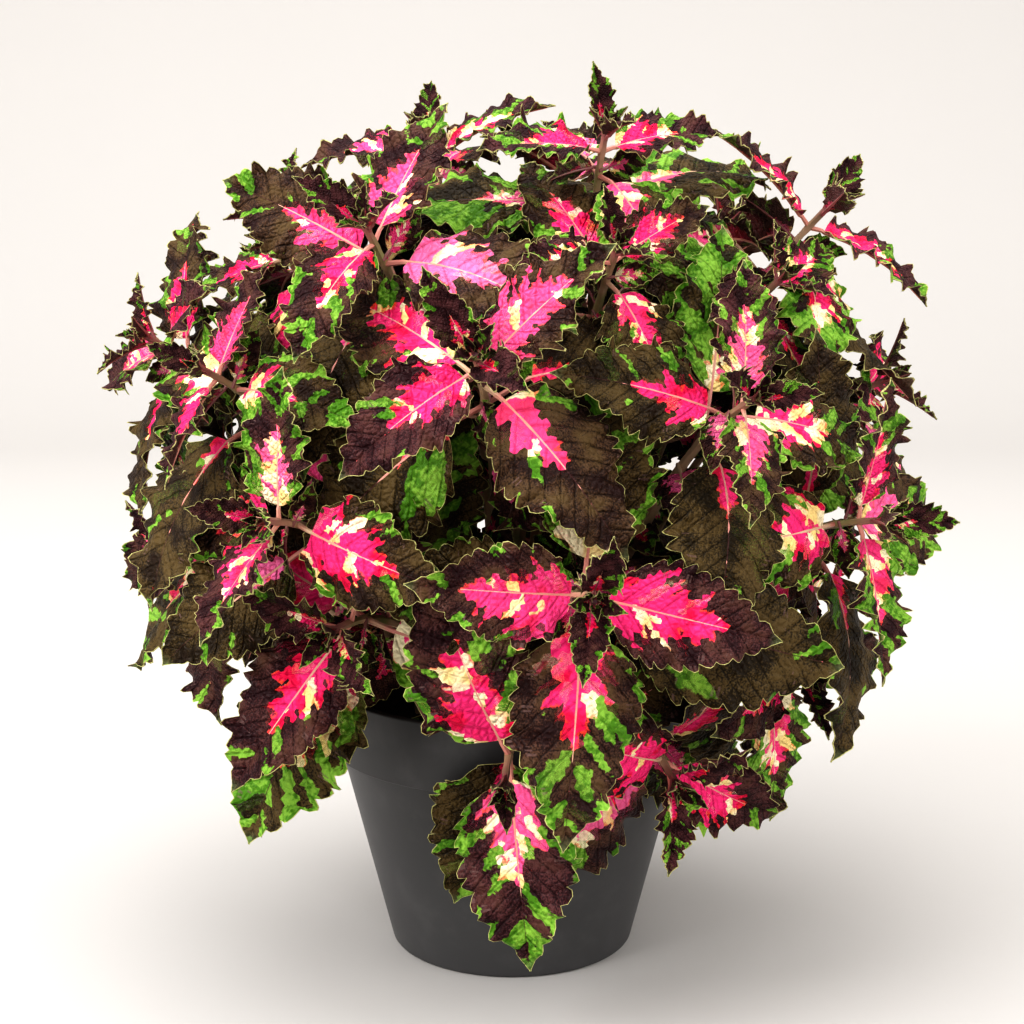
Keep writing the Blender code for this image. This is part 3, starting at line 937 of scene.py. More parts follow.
    def relief(self, height: Number, strength: float, distance: float) -> None:
        """Feeds the shader's normal with a bump.

        Args:
            height: the bump's height.
            strength: how much of it shows.
            distance: metres for a height of one.
        """
        node = self.tree.nodes.new("ShaderNodeBump")
        node.inputs["Strength"].default_value = strength
        node.inputs["Distance"].default_value = distance
        self.tree.links.new(height.socket, node.inputs["Height"])
        self.tree.links.new(node.outputs[0], self.shader.inputs["Normal"])

    def feed(self, socket: str, value: Union[Number, bpy.types.NodeSocket, float]) -> None:
        """Sets or links one of the shader's inputs."""
        if isinstance(value, (int, float)):
            self.shader.inputs[socket].default_value = value
        else:
            output = value.socket if isinstance(value, Number) else value
            self.tree.links.new(output, self.shader.inputs[socket])


class LeafSpot:
    """Where a point lies on its leaf, in shader numbers: its distances, and its place among the side veins."""

    def __init__(self, x: Number, y: Number) -> None:
        """Works out the place.

        Args:
            x: signed distance from the rib, in leaf lengths.
            y: distance from the leaf's base, in leaf lengths.
        """
        self.x = x
        self.y = y
        self.out = x.reckon("ABSOLUTE")
        self.side = x.reckon("GREATER_THAN", 0.0)
        self.along = y - self.out * VEIN_LEAN - self.out * self.out * VEIN_CURVE
        self.vein = self.along / VEIN_SPACING + self.side * VEIN_STAGGER
        self.part = self.vein.reckon("FRACT")
        self.near_vein = (self.part * 2.0 - 1.0).reckon("ABSOLUTE")


@dataclass(frozen=True)
class LeafFinish:
    """The leaf's markings, with painted shade in the creases of its fine net and along its sunk side veins. Where the
    leaf has no red pigment it is green at the edge and cream in the pink centre.
    """

    name: str = "coleus_leaf"
    young: Colour = (0.024, 0.006, 0.008)
    young_light: Colour = (0.105, 0.036, 0.038)
    old: Colour = (0.018, 0.011, 0.003)
    old_light: Colour = (0.100, 0.066, 0.024)
    green: Colour = (0.075, 0.200, 0.012)
    green_light: Colour = (0.240, 0.440, 0.060)
    crimson: Colour = (0.760, 0.007, 0.080)
    pink: Colour = (0.940, 0.045, 0.235)
    pale_pink: Colour = (0.960, 0.270, 0.520)
    # Darker crimson for the pink centre's veins: the veins' own colour, and painted shade in the sunk veins and the
    # fine net's creases.
    pink_vein_and_painted_shade: Colour = (0.480, 0.004, 0.060)
    cream: Colour = (0.930, 0.690, 0.290)
    cream_light: Colour = (0.980, 0.880, 0.600)
    rim_line: Colour = (0.880, 0.110, 0.020)
    margin_line: Colour = (0.600, 0.580, 0.240)
    rib: Colour = (0.930, 0.560, 0.440)
    dark_rib: Colour = (0.080, 0.030, 0.030)
    tip: Colour = (0.120, 0.150, 0.070)
    underside: Colour = (0.180, 0.110, 0.100)
    facets: float = 27.0

    def make(self) -> bpy.types.Material:
        """Builds the leaf material.

        Returns:
            The material.
        """
        p = Palette(self.name, self.young)
        x, y = p.leaf_place()
        pinkness, greenness, age, chance = p.channels(Skin.KIND)
        rim, under, pale, bias = p.channels(Skin.EDGE)
        spot = LeafSpot(x, y)
        jagged = LeafSpot(*p.faceted(x, y, chance, self.facets, 0.72))
        flat = p.vector(x + chance * 31.0, y + chance * 17.0, 0.0)
        broad = p.cloud(flat, 6.0, 1.0)
        ragged = p.cloud(flat, 30.0, 2.0, 0.6) - 0.5
        fine = p.cloud(flat, 110.0, 1.0) - 0.5
        net = p.net(flat, 26.0)
        # The creases of the fine net and the side veins sink in the relief, and they also darken the colours below as
        # painted shade.
        creases = net.ramp(0.0, 0.13).flipped()
        veins = spot.near_vein.ramp(0.86, 0.99)
        centre = self.centre_edge(p, jagged, pinkness, bias, chance, ragged, fine)
        inside = centre.ramp(-0.0015, 0.0015)
        bare = self.bare_patches(p, jagged, greenness, bias, chance, ragged, fine, rim, inside)
        dark = self.dark_colour(p, age, broad, fine, veins, creases)
        green = p.mixed((broad + ragged).ramp(0.35, 0.65), self.green, self.green_light)
        # Painted shade: the green is darker along the sunk side veins and in the creases of the fine net.
        green = p.mixed((veins * 0.5 + creases * 0.25).least(0.6), green, self.green)
        pink = self.pink_colour(p, broad, pale, veins, creases, centre)
        cream = p.mixed(broad.ramp(0.4, 0.6), self.cream, self.cream_light)
        outer = p.mixed(bare, dark, green)
        inner = p.mixed(bare, pink, cream)
        rim_band = inside * centre.ramp(0.002, 0.008).flipped()
        inner = p.mixed(rim_band * 0.7, inner, self.rim_line)
        colour = p.mixed(inside, outer, inner)
        rib_width = y.flipped() * 0.005 + 0.0010
        on_rib = (spot.out - rib_width).ramp(-0.0012, 0.0008).flipped()
        colour = p.mixed(on_rib * 0.75, colour, p.mixed(inside, self.dark_rib, self.rib))
        colour = p.mixed(y.ramp(0.90, 0.985) * 0.7, colour, self.tip)
        colour = p.mixed(rim.ramp(0.12, 0.42).flipped() * 0.85, colour, self.margin_line)
        colour = p.mixed(under * 0.5, colour, self.underside)
        p.feed("Base Color", colour)
        p.feed("Roughness", (broad * 0.20 + 0.42).least(0.62))
        p.feed("Specular IOR Level", 0.18)
        height = net.ramp(0.0, 0.42) + spot.near_vein.ramp(0.72, 1.0) * -1.1 + fine * 0.25
        p.relief(height, 0.8, 0.0009)
        return p.material

    def centre_edge(
        self,
        p: Palette,
        spot: LeafSpot,
        pinkness: Number,
        bias: Number,
        chance: Number,
        ragged: Number,
        fine: Number,
    ) -> Number:
        """How far inside the pink centre a point lies. The centre has a pointed lobe along each side vein.

        Args:
            p: the material.
            spot: the point.
            pinkness: how large this leaf's centre is.
            bias: which half has more of it.
            chance: this leaf's own random number.
            ragged: noise that tears the edge.
            fine: finer noise.

        Returns:
            A distance in leaf lengths, above 0 inside.
        """
        end = pinkness * 0.42 + 0.30
        base = spot.along.ramp(-0.19, 0.0)
        body = ((spot.along.most(0.0) / end).least(1.0).power(1.5)).flipped()
        own = p.dice((spot.vein + 0.5).reckon("FLOOR"), spot.side, chance)[0]
        lobes = (spot.near_vein.power(1.3) * 0.42 + 0.62) * (own * 0.62 + 0.66)
        lean = (spot.side * 2.0 - 1.0) * bias * 0.25 + 1.0
        reach = (pinkness * 0.195 + 0.060) * base * body * lobes * lean
        return reach - spot.out + ragged * 0.014 + fine * 0.004 - 0.003

    def bare_patches(
        self,
        p: Palette,
        spot: LeafSpot,
        greenness: Number,
        bias: Number,
        chance: Number,
        ragged: Number,
        fine: Number,
        rim: Number,
        inside: Number,
    ) -> Number:
        """Where the leaf has no red pigment: wedges between side veins, and flecks that gather at the margin.

        Args:
            p: the material.
            spot: the point.
            greenness: how much of this leaf is bare.
            bias: which half has more wedges.
            chance: this leaf's own random number.
            ragged: noise that tears the edge.
            fine: finer noise.
            rim: distance from the margin in millimetres.
            inside: 1 in the pink centre, where there are more wedges.

        Returns:
            1 where it is bare.
        """
        place = p.vector(spot.along * 6.5 + spot.side * 3.1 + chance * 70.0, spot.out * 3.4 + chance * 23.0, 0.0)
        margin = rim.ramp(0.5, 6.0).flipped() * 0.06
        flecks = p.cloud(place, 1.0, 1.0, 0.4) + ragged * 0.05 + fine * 0.012 + margin + greenness * 0.26 - 0.750
        sector = spot.vein * 0.5 + spot.side * 0.5
        part = sector.reckon("FRACT")
        chosen, middle, spread = p.dice(sector.reckon("FLOOR"), spot.side + 5.0, chance)
        start, stop, _ = p.dice(sector.reckon("FLOOR"), spot.side + 11.0, chance)
        width = (spot.out * 1.2 + 0.10) * (spread * 0.9 + 0.6)
        wedge = width - (part - middle * 0.7 - 0.15).reckon("ABSOLUTE")
        wedge = wedge.least((spot.out - start * 0.06 + 0.02) * 5.0)
        wedge = wedge.least((stop * 0.22 + 0.08 - spot.out) * 5.0)
        odds = greenness * 0.30 + 0.04 + inside * 0.26 + (spot.side * 2.0 - 1.0) * bias * -0.15
        wedge = wedge.least((odds - chosen) * 8.0) * 0.5 + ragged * 0.03
        return flecks.most(wedge).ramp(-0.005, 0.005)

    def dark_colour(
        self, p: Palette, age: Number, broad: Number, fine: Number, veins: Number, creases: Number
    ) -> bpy.types.NodeSocket:
        """The red-brown of the outer leaf, purple on a young leaf and olive on an old one, with painted shade in the
        creases and along the sunk side veins.

        Args:
            p: the material.
            age: 0 for a young leaf and 1 for an old one.
            broad: noise that varies it.
            fine: finer noise.
            veins: 1 on a side vein.
            creases: 1 in a crease of the leaf's fine net.

        Returns:
            The colour.
        """
        # Painted shade: the tone is darker in the creases of the fine net and along the sunk side veins. The rest of
        # its change is random.
        light = (broad + fine * 0.7 - creases * 0.14 - veins * 0.2).ramp(0.28, 0.66)
        young = p.mixed(light, self.young, self.young_light)
        old = p.mixed(light, self.old, self.old_light)
        return p.mixed((age + (broad - 0.5) * 0.7).ramp(0.1, 0.9), young, old)

    def pink_colour(
        self, p: Palette, broad: Number, pale: Number, veins: Number, creases: Number, centre: Number
    ) -> bpy.types.NodeSocket:
        """The pink of the centre, crimson near its edge, with a darker net of veins: partly the veins' own colour, and
        partly painted shade in the sunk veins and in the fine net's creases.

        Args:
            p: the material.
            broad: noise that varies it.
            pale: 1 for a leaf whose centre is pale.
            veins: 1 on a side vein.
            creases: 1 on the fine net between them.
            centre: distance from the centre's edge.

        Returns:
            The colour.
        """
        bright = p.mixed((broad + centre * 2.0).ramp(0.40, 0.66), self.crimson, self.pink)
        bright = p.mixed(pale, bright, self.pale_pink)
        # Darker on the veins, partly their own colour and partly painted shade, and darker in the fine net's creases
        # as painted shade.
        return p.mixed((veins * 0.42 + creases * 0.30).least(0.6), bright, self.pink_vein_and_painted_shade)


@dataclass(frozen=True)
class StemFinish:
    """Fleshy stems and petioles: beige with a pink flush, purple at the growing tips."""

    name: str = "coleus_stem"
    beige: Colour = (0.640, 0.460, 0.300)
    flush: Colour = (0.640, 0.270, 0.220)
    purple: Colour = (0.160, 0.050, 0.065)
    green: Colour = (0.330, 0.340, 0.140)

    def make(self) -> bpy.types.Material:
        """Builds the stem material.

        Returns:
            The material.
        """
        p = Palette(self.name, self.beige)
        young, petiole, chance, _ = p.channels(Skin.KIND)
        place = p.object_place()
        broad = p.cloud(place, 60.0, 2.0, solid=True)
        fine = p.cloud(place, 900.0, 2.0, solid=True)
        flesh = p.mixed((broad + petiole * 0.12 + chance * 0.2).ramp(0.45, 0.8), self.beige, self.flush)
        flesh = p.mixed((petiole.flipped() * broad).ramp(0.35, 0.7), flesh, self.green)
        p.feed("Base Color", p.mixed(young, flesh, self.purple))
        p.feed("Roughness", fine * 0.15 + 0.38)
        p.relief(fine, 0.2, 0.0003)
        return p.material


@dataclass(frozen=True)
class SoilFinish:
    """Damp potting soil with pale specks."""

    name: str = "potting_soil"
    dark: Colour = (0.012, 0.008, 0.005)
    light: Colour = (0.060, 0.038, 0.024)
    speck: Colour = (0.420, 0.380, 0.320)

    def make(self) -> bpy.types.Material:
        """Builds the soil material.

        Returns:
            The material.
        """
        p = Palette(self.name, self.light)
        brightness, speck, _, _ = p.channels(Skin.KIND)
        place = p.object_place()
        grain = p.cloud(place, 700.0, 4.0, 0.7, solid=True)
        earth = p.mixed((grain + brightness * 0.3).ramp(0.4, 0.8), self.dark, self.light)
        p.feed("Base Color", p.mixed(speck, earth, self.speck))
        p.feed("Roughness", grain * 0.2 + 0.78)
        p.relief(grain, 0.8, 0.001)
        return p.material


@dataclass(frozen=True)
class PotFinish:
    """Satin grey plastic with the faint grain of its mould, and a little dust."""

    name: str = "pot_plastic"
    grey: Colour = (0.062, 0.061, 0.062)
    worn: Colour = (0.100, 0.098, 0.098)

    def make(self) -> bpy.types.Material:
        """Builds the pot's material.

        Returns:
            The material.
        """
        p = Palette(self.name, self.grey)
        place = p.object_place()
        grain = p.cloud(place, 2600.0, 2.0, solid=True)
        dust = p.cloud(place, 38.0, 4.0, 0.6, solid=True)
        p.feed("Base Color", p.mixed(dust.ramp(0.45, 0.75) * 0.5, self.grey, self.worn))
        p.feed("Roughness", dust * 0.14 + 0.40)
        p.feed("Specular IOR Level", 0.45)
        p.relief(grain, 0.12, 0.0002)
        return p.material


class Skin:
    """The points, faces and values of one piece, gathered part by part and made into one mesh."""

    MAP = "leaf_map"
    KIND = "kind"
    EDGE = "edge"

    def __init__(self) -> None:
        """Starts an empty piece."""
        self.points: list[np.ndarray] = []
        self.corners: list[np.ndarray] = []
        self.sizes: list[np.ndarray] = []
        self.maps: list[np.ndarray] = []
        self.kinds: list[np.ndarray] = []
        self.edges: list[np.ndarray] = []
        self.count = 0

    def add(
        self,
        points: np.ndarray,
        faces: Iterable[np.ndarray],
        kind: np.ndarray,
        place: Optional[np.ndarray] = None,
        edge: Optional[np.ndarray] = None,
    ) -> None:
        """Adds a part.

        Args:
            points: its points.
            faces: arrays of faces, each with its own number of corners.
            kind: four values, for each point or for all.
            place: leaf coordinates of each point.
            edge: four edge values of each point.
        """
        total = len(points)
        self.points.append(points)
        for block in faces:
            self.corners.append(block.ravel() + self.count)
            self.sizes.append(np.full(len(block), block.shape[1]))
        self.kinds.append(np.broadcast_to(kind, (total, 4)))
        self.maps.append(np.zeros((total, 2)) if place is None else place)
        self.edges.append(np.zeros((total, 4)) if edge is None else edge)
        self.count += total

    def make(self, name: str, material: bpy.types.Material, sharp: float = 50.0) -> bpy.types.Object:
        """Makes the piece.

        Args:
            name: the object's name.
            material: its material.
            sharp: the angle in degrees above which an edge stays sharp.

        Returns:
            The object.
        """
        corners = np.concatenate(self.corners).astype(np.int32)
        sizes = np.concatenate(self.sizes)
        mesh = bpy.data.meshes.new(name)
        mesh.vertices.add(self.count)
        mesh.vertices.foreach_set("co", np.concatenate(self.points).astype(np.float32).ravel())
        mesh.loops.add(len(corners))
        mesh.loops.foreach_set("vertex_index", corners)
        mesh.polygons.add(len(sizes))
        mesh.polygons.foreach_set("loop_start", np.concatenate([[0], np.cumsum(sizes)[:-1]]).astype(np.int32))
        mesh.update(calc_edges=True)
        for label, values in ((self.KIND, self.kinds), (self.EDGE, self.edges)):
            attribute = mesh.attributes.new(label, "FLOAT_COLOR", "POINT")
            attribute.data.foreach_set("color", np.concatenate(values).astype(np.float32).ravel())
        layer = mesh.uv_layers.new(name=self.MAP)
        layer.uv.foreach_set("vector", np.concatenate(self.maps)[corners].astype(np.float32).ravel())
        mesh.shade_smooth()
        mesh.set_sharp_from_angle(angle=math.radians(sharp))
        mesh.materials.append(material)
        made = bpy.data.objects.new(name, mesh)
        bpy.context.scene.collection.objects.link(made)
        return made


def tube(skin: Skin, rings: np.ndarray, kind: np.ndarray) -> None:
    """Adds a closed tube.

    Args:
        skin: the piece that it joins.
        rings: its points, by ring and then round the ring, anticlockwise about the way up.
        kind: four values, for each ring or for all.
    """
    count, around = rings.shape[:2]
    index = np.arange(count * around).reshape(count, around)
    lower, upper = index[:-1], index[1:]
    walls = np.stack([lower, np.roll(lower, -1, 1), np.roll(upper, -1, 1), upper], -1).reshape(-1, 4)
    ends = [index[0][::-1][None, :], index[-1][None, :]]
    kinds = np.repeat(np.broadcast_to(kind, (count, 4)), around, 0)
    skin.add(rings.reshape(-1, 3), [walls, *ends], kinds)


@dataclass(frozen=True)
class LeafCut:
    """How a blade is cut: its teeth a side, rows of faces a tooth, strips from the rib to the notches, and fringe.

    Depth is in leaf lengths, round is 0 for hooked teeth and 1 for scallops, and curl is how far they stand up.
    """

    teeth: int
    rows: int
    strips: int
    depth: float
    round: float
    curl: float


@dataclass(frozen=True)
class LeafLook:
    """A leaf's own markings: the size of its pink centre, its share of green, its age, and chance values."""

    pinkness: float
    greenness: float
    age: float
    chance: float
    pale: float
    bias: float


@dataclass
class Blade:
    """A fine leaf blade along a leaf's form: quilted between its veins, with a ruffled and toothed margin."""

    form: LeafForm
    cut: LeafCut
    look: LeafLook
    thickness: float = 0.0005
    fringe_from: float = 0.03
    fringe_to: float = 0.92
    fringe_lean: float = 0.9
    edge_least: float = 0.00012
    quilt: float = 0.013
    groove: float = 0.008
    groove_width: float = 0.014
    sway: float = 0.034
    frill: float = 0.034
    tip_rows: tuple[float, ...] = (0.935, 0.955, 0.975, 0.990, 0.999)

    def add_to(self, skin: Skin) -> None:
        """Adds the blade as a thin closed shell.

        Args:
            skin: the piece that it joins.
        """
        shares, across, lift, rim = self.grid()
        rows, columns = shares.shape
        upper = self.form.surface(shares, across, lift)
        lower = self.form.surface(shares, across, lift - self.thickness)
        points = np.concatenate([upper.reshape(-1, 3), lower.reshape(-1, 3)])
        index = np.arange(rows * columns).reshape(rows, columns)
        top = np.stack([index[:-1, :-1], index[1:, :-1], index[1:, 1:], index[:-1, 1:]], -1).reshape(-1, 4)
        bottom = top[:, ::-1] + rows * columns
        loop = np.concatenate([index[:-1, 0], index[-1, :-1], index[:0:-1, -1], index[0, :0:-1]])
        ahead = np.roll(loop, -1)
        below = rows * columns
        wall = np.stack([ahead, loop, loop + below, ahead + below], -1)
        place = np.stack([across / self.form.length, shares], -1).reshape(-1, 2)
        under = np.repeat([0.0, 1.0], rows * columns)
        edge = np.stack(
            [
                np.tile(rim.ravel() * 1000, 2),
                under,
                np.full(2 * below, self.look.pale),
                np.full(2 * below, self.look.bias),
            ],
            -1,
        )
        kind = np.array([self.look.pinkness, self.look.greenness, self.look.age, self.look.chance])
        skin.add(points, [top, bottom, wall], kind, np.tile(place, (2, 1)), edge)

    def grid(self) -> tuple[np.ndarray, np.ndarray, np.ndarray, np.ndarray]:
        """The blade's grid of points.

        Returns:
            Shares along the blade, distances across it, lifts off it, and distances from its margin, each by row
            and column, from the left margin to the right one.
        """
        form = self.form
        rng = np.random.default_rng(form.seed + 7)
        phase = np.arange(self.cut.teeth * self.cut.rows) / self.cut.rows
        pitch = (self.fringe_to - self.fringe_from) / self.cut.teeth
        base = np.array([0.0, 0.5 * self.fringe_from])
        tip = np.array(self.tip_rows)
        rows = np.concatenate([base, self.fringe_from + phase * pitch, tip])
        toothed = np.concatenate([base * 0, phase * 0 + 1, tip * 0])
        phase = np.concatenate([base * 0, phase, tip * 0])
        half = form.half_at(rows)
        fade = np.clip((0.97 - rows) / 0.12, 0, 1)
        depth = self.cut.depth * form.length * (0.35 + 0.65 * half / form.half_width) * fade
        notch = np.maximum(half - 0.55 * depth, 0.0003 + 0.0004 * (1 - rows))
        steps = np.linspace(0, 1, self.cut.strips + 1)
        halves = {}
        for side in Side:
            halves[side] = self.half_grid(side, rng, rows, phase, toothed, depth, notch, steps)
        joined = []
        for left, right in zip(halves[Side.LEFT], halves[Side.RIGHT]):
            joined.append(np.concatenate([left[:, :0:-1], right], 1))
        shares, across, lift, rim = joined
        across[:, : self.cut.strips + 1] *= -1
        return shares, across, lift + self.rib_groove(across), rim

    def half_grid(
        self,
        side: Side,
        rng: np.random.Generator,
        rows: np.ndarray,
        phase: np.ndarray,
        toothed: np.ndarray,
        depth: np.ndarray,
        notch: np.ndarray,
        steps: np.ndarray,
    ) -> tuple[np.ndarray, np.ndarray, np.ndarray, np.ndarray]:
        """One half of the grid, from the rib out.

        Args:
            side: which half.
            rng: the leaf's own draws.
            rows: shares along the blade.
            phase: how far along the teeth each row is.
            toothed: 1 where the margin has teeth.
            depth: the teeth's depth at each row.
            notch: the half width at the notches at each row.
            steps: the strips' shares of that half width.

        Returns:
            Shares, distances across, lifts and distances from the margin.
        """
        form = self.form
        phase = phase + (0.5 if side is Side.LEFT else 0.0)
        order = phase.astype(int)
        part = phase - order
        hooked = np.where(part < 0.6, (part / 0.6) ** 1.1, ((1 - part) / 0.4) ** 0.9)
        scalloped = np.sin(math.pi * part) ** 0.7
        profile = (hooked + (scalloped - hooked) * self.cut.round) * toothed
        grow = rng.uniform(0.6, 1.4, self.cut.teeth + 2)[order]
        curl = rng.normal(0.30, 0.65, self.cut.teeth + 2)[order] * self.cut.curl
        lean = self.fringe_lean * (1 - 0.6 * self.cut.round) * rng.uniform(0.4, 1.5, self.cut.teeth + 2)[order]
        stand = profile * grow * depth
        across = np.concatenate([notch[:, None] * steps, (notch + self.edge_least + stand)[:, None]], 1)
        shares = np.repeat(rows[:, None], len(steps) + 1, 1)
        shares[:, -1] += lean * stand / form.length
        shares[:, -2] += 0.3 * lean * stand / form.length
        outward = np.minimum(across / np.maximum(notch, 0.002)[:, None], 1.2)
        reach = across / form.length
        vein = (shares - reach * VEIN_LEAN - reach * reach * VEIN_CURVE) / VEIN_SPACING
        vein += VEIN_STAGGER if side is Side.RIGHT else 0.0
        pucker = np.sin(math.pi * vein) ** 2 * (1 - np.exp(-((reach / 0.05) ** 2)))
        pucker *= 1 + 0.35 * np.sin(2 * math.pi * (reach / 0.07 + 0.37 * np.floor(vein)))
        first, second = rng.uniform(0, 2 * math.pi, 2)
        slow, fast = rng.uniform(1.8, 2.8), rng.uniform(5.5, 8.0)
        room = (4 * shares * (1 - np.minimum(shares, 1))) ** 0.6
        sway = np.sin(2 * math.pi * slow * shares + first) * outward**2.6
        frill = np.sin(2 * math.pi * fast * shares + second) * outward**5 * (1.25 - 0.8 * shares)
        lift = self.quilt * form.length * pucker * (1.1 - 0.5 * outward**3)
        lift = lift + form.length * room * (self.sway * sway + self.frill * self.cut.curl * frill)
        lift[:, -1] += curl * stand
        lift[:, -2] += 0.2 * curl * stand
        rim = across[:, -1:] - across
        return shares, across, lift, rim

    def rib_groove(self, across: np.ndarray) -> np.ndarray:
        """The groove along the rib."""
        return -self.groove * self.form.length * np.exp(-((across / self.form.length / self.groove_width) ** 2))


@dataclass
class ShootLooks:
    """One shoot's fine stem, petioles, ribs, buds and blades."""

    grown: Grown
    round_sides: int = 10
    ring_step: float = 0.004
    squareness: float = 3.6
    node_swell: float = 0.28
    node_length: float = 0.0026
    petiole_sides: int = 6
    petiole_rings: int = 5
    rib_rings: int = 6
    rib_end: float = 0.93
    shoot_sink: float = 0.003
    petiole_sink: float = 0.0012
    purple_length: float = 0.035
    young_blade: float = 0.04

    cuts = (
        LeafCut(8, 4, 3, 0.048, 0.6, 1.0),
        LeafCut(11, 4, 3, 0.042, 0.7, 0.9),
        LeafCut(13, 4, 3, 0.037, 0.8, 0.9),
        LeafCut(11, 4, 3, 0.038, 1.0, 0.7),
    )
    axil_cut = LeafCut(5, 3, 2, 0.048, 0.5, 1.0)
    bud_cut = LeafCut(4, 3, 2, 0.045, 0.2, 1.0)

    def add_to(self, stems: Skin, blades: Skin) -> None:
        """Adds the shoot.

        Args:
            stems: the piece that holds stems and petioles.
            blades: the piece that holds blades.
        """
        self.add_stem(stems)
        for (order, side), form in self.grown.leaves.items():
            rng = random.Random(form.seed * 31 + 5)
            self.add_leaf(stems, blades, form, self.cuts[order], self.leaf_look(order, rng))
        for number, form in enumerate(self.grown.axils):
            rng = random.Random(form.seed * 31 + 5 + number)
            look = LeafLook(rng.uniform(0.2, 0.9), rng.uniform(0.2, 0.7), 0.35, rng.random(), rng.random() * 0.7, 0.0)
            self.add_leaf(stems, blades, form, self.axil_cut, look)
        for order, tier in BUDS:
            for side in (0, 1):
                form = self.grown.leaf_form(tier, order, side, 0)
                rng = random.Random(form.seed * 31 + 5)
                look = LeafLook(0.05, rng.uniform(0.1, 0.3), 0.0, rng.random(), 0.0, 0.0)
                self.add_leaf(stems, blades, form, self.bud_cut, look)

    @staticmethod
    def leaf_look(order: int, rng: random.Random) -> LeafLook:
        """The markings of a leaf.

        Args:
            order: its pair, from 0 for the young pair.
            rng: the leaf's own draws.

        Returns:
            Its look.
        """
        pinkness = (
            rng.uniform(0.12, 0.42),
            rng.uniform(0.62, 1.0),
            rng.uniform(0.45, 0.95),
            max(0.0, rng.uniform(-0.5, 0.75)),
        )[order]
        greenness = rng.random() ** 2.0 * (0.60, 0.85, 1.05, 1.2)[order]
        age = min(1.0, max(0.0, (0.0, 0.25, 0.6, 0.9)[order] + rng.gauss(0, 0.12)))
        pale = max(0.0, rng.uniform(-0.9, 0.8)) if order else 0.0
        return LeafLook(pinkness, greenness, age, rng.random(), pale, rng.uniform(-0.8, 0.8))

    def add_stem(self, stems: Skin) -> None:
        """Adds the rounded square stem, swollen at its nodes.

        Args:
            stems: the piece that it joins.
        """
        route = self.grown.route
        nodes = [tier.below_tip * tier.scale(self.grown.shoot.vigour) for tier in TIERS]
        count = max(4, int(route.length / self.ring_step))
        places = [route.length * k / count for k in range(count, -1, -1)]
        if self.grown.leads:
            sink = self.grown.foot - route.points[-1]
        else:
            sink = -self.shoot_sink * np.array(route.ways[-1])
        rings = [self.stem_ring(route.length, nodes) + np.array(sink)]
        kinds = [(0.0, 0.0, 0.5, 0.0)]
        for distance in places:
            rings.append(self.stem_ring(distance, nodes))
            kinds.append((max(0.0, 1 - distance / self.purple_length) ** 1.5, 0.0, 0.5, 0.0))
        tube(stems, np.array(rings), np.array(kinds))

    def stem_ring(self, distance: float, nodes: list[float]) -> np.ndarray:
        """The stem's section.

        Args:
            distance: how far down from the tip.
            nodes: the nodes' distances.

        Returns:
            Points round a square with full round corners.
        """
        point, _, side, other = (np.array(v) for v in self.grown.route.frame(distance))
        swell = sum(math.exp(-(((distance - node) / self.node_length) ** 2)) for node in nodes)
        half = stem_half(distance) * (1 + self.node_swell * min(swell, 1.0))
        angles = np.linspace(0, 2 * math.pi, self.round_sides, endpoint=False)
        c, s = np.cos(angles), np.sin(angles)
        radius = half / (np.abs(c) ** self.squareness + np.abs(s) ** self.squareness) ** (1 / self.squareness)
        return point + (c * radius)[:, None] * side + (s * radius)[:, None] * other

    def add_leaf(self, stems: Skin, blades: Skin, form: LeafForm, cut: LeafCut, look: LeafLook) -> None:
        """Adds a leaf: its petiole, which runs on as the rib under the blade, and its blade.

        Args:
            stems: the piece that holds petioles.
            blades: the piece that holds blades.
            form: the leaf.
            cut: how finely its blade is cut.
            look: its markings.
        """
        blade = Blade(form, cut, look)
        blade.add_to(blades)
        start = np.array(form.start - form.way * self.petiole_sink)
        end = np.array(form.blade_start - form.up * (0.35 * form.thick))
        petiole = [start + (end - start) * k / self.petiole_rings for k in range(self.petiole_rings)]
        shares = np.linspace(0, self.rib_end, self.rib_rings)
        sunk = -blade.thickness - blade.groove * form.length
        rib = form.surface(shares, shares * 0, shares * 0 + sunk)
        middle = np.concatenate([np.array(petiole), rib])
        thick = 1.05 * form.thick
        radii = np.concatenate([
            np.linspace(1.25 * thick, thick, self.petiole_rings),
            0.9 * thick * (1 - shares) ** 0.8 + 0.00012,
        ])
        side = np.array(form.side)
        ahead = np.gradient(middle, axis=0)
        ahead /= np.linalg.norm(ahead, axis=1)[:, None]
        up = np.cross(ahead, side)
        up /= np.linalg.norm(up, axis=1)[:, None]
        out = np.cross(up, ahead)
        angles = np.linspace(0, 2 * math.pi, self.petiole_sides, endpoint=False)
        circle = np.cos(angles)[None, :, None] * out[:, None, :] - np.sin(angles)[None, :, None] * up[:, None, :]
        rings = middle[:, None, :] + circle * radii[:, None, None]
        young = 0.75 if form.length < self.young_blade else 0.0
        tube(stems, rings[:, ::-1], np.array((young, 1.0, look.chance, 0.0)))


BUDS = (
    (5, Tier(0.0022, 0.0015, 0.0150, 0.25, 22, 2, 16, 30, 0.1, 3, 1, 1.0)),
    (6, Tier(-0.0005, 0.0008, 0.0085, 0.24, 14, 2, 10, 34, 0.1, 3, 1, 1.0)),
)
AXIL = Tier(0.0, 0.0035, 0.027, 0.28, 52, 6, 26, 20, 0.15, 3, 1, 1.0)
INNER = Tier(0.0, 0.0080, 0.044, 0.31, 52, 6, 30, 16, 0.2, 4, 1, 1.0)


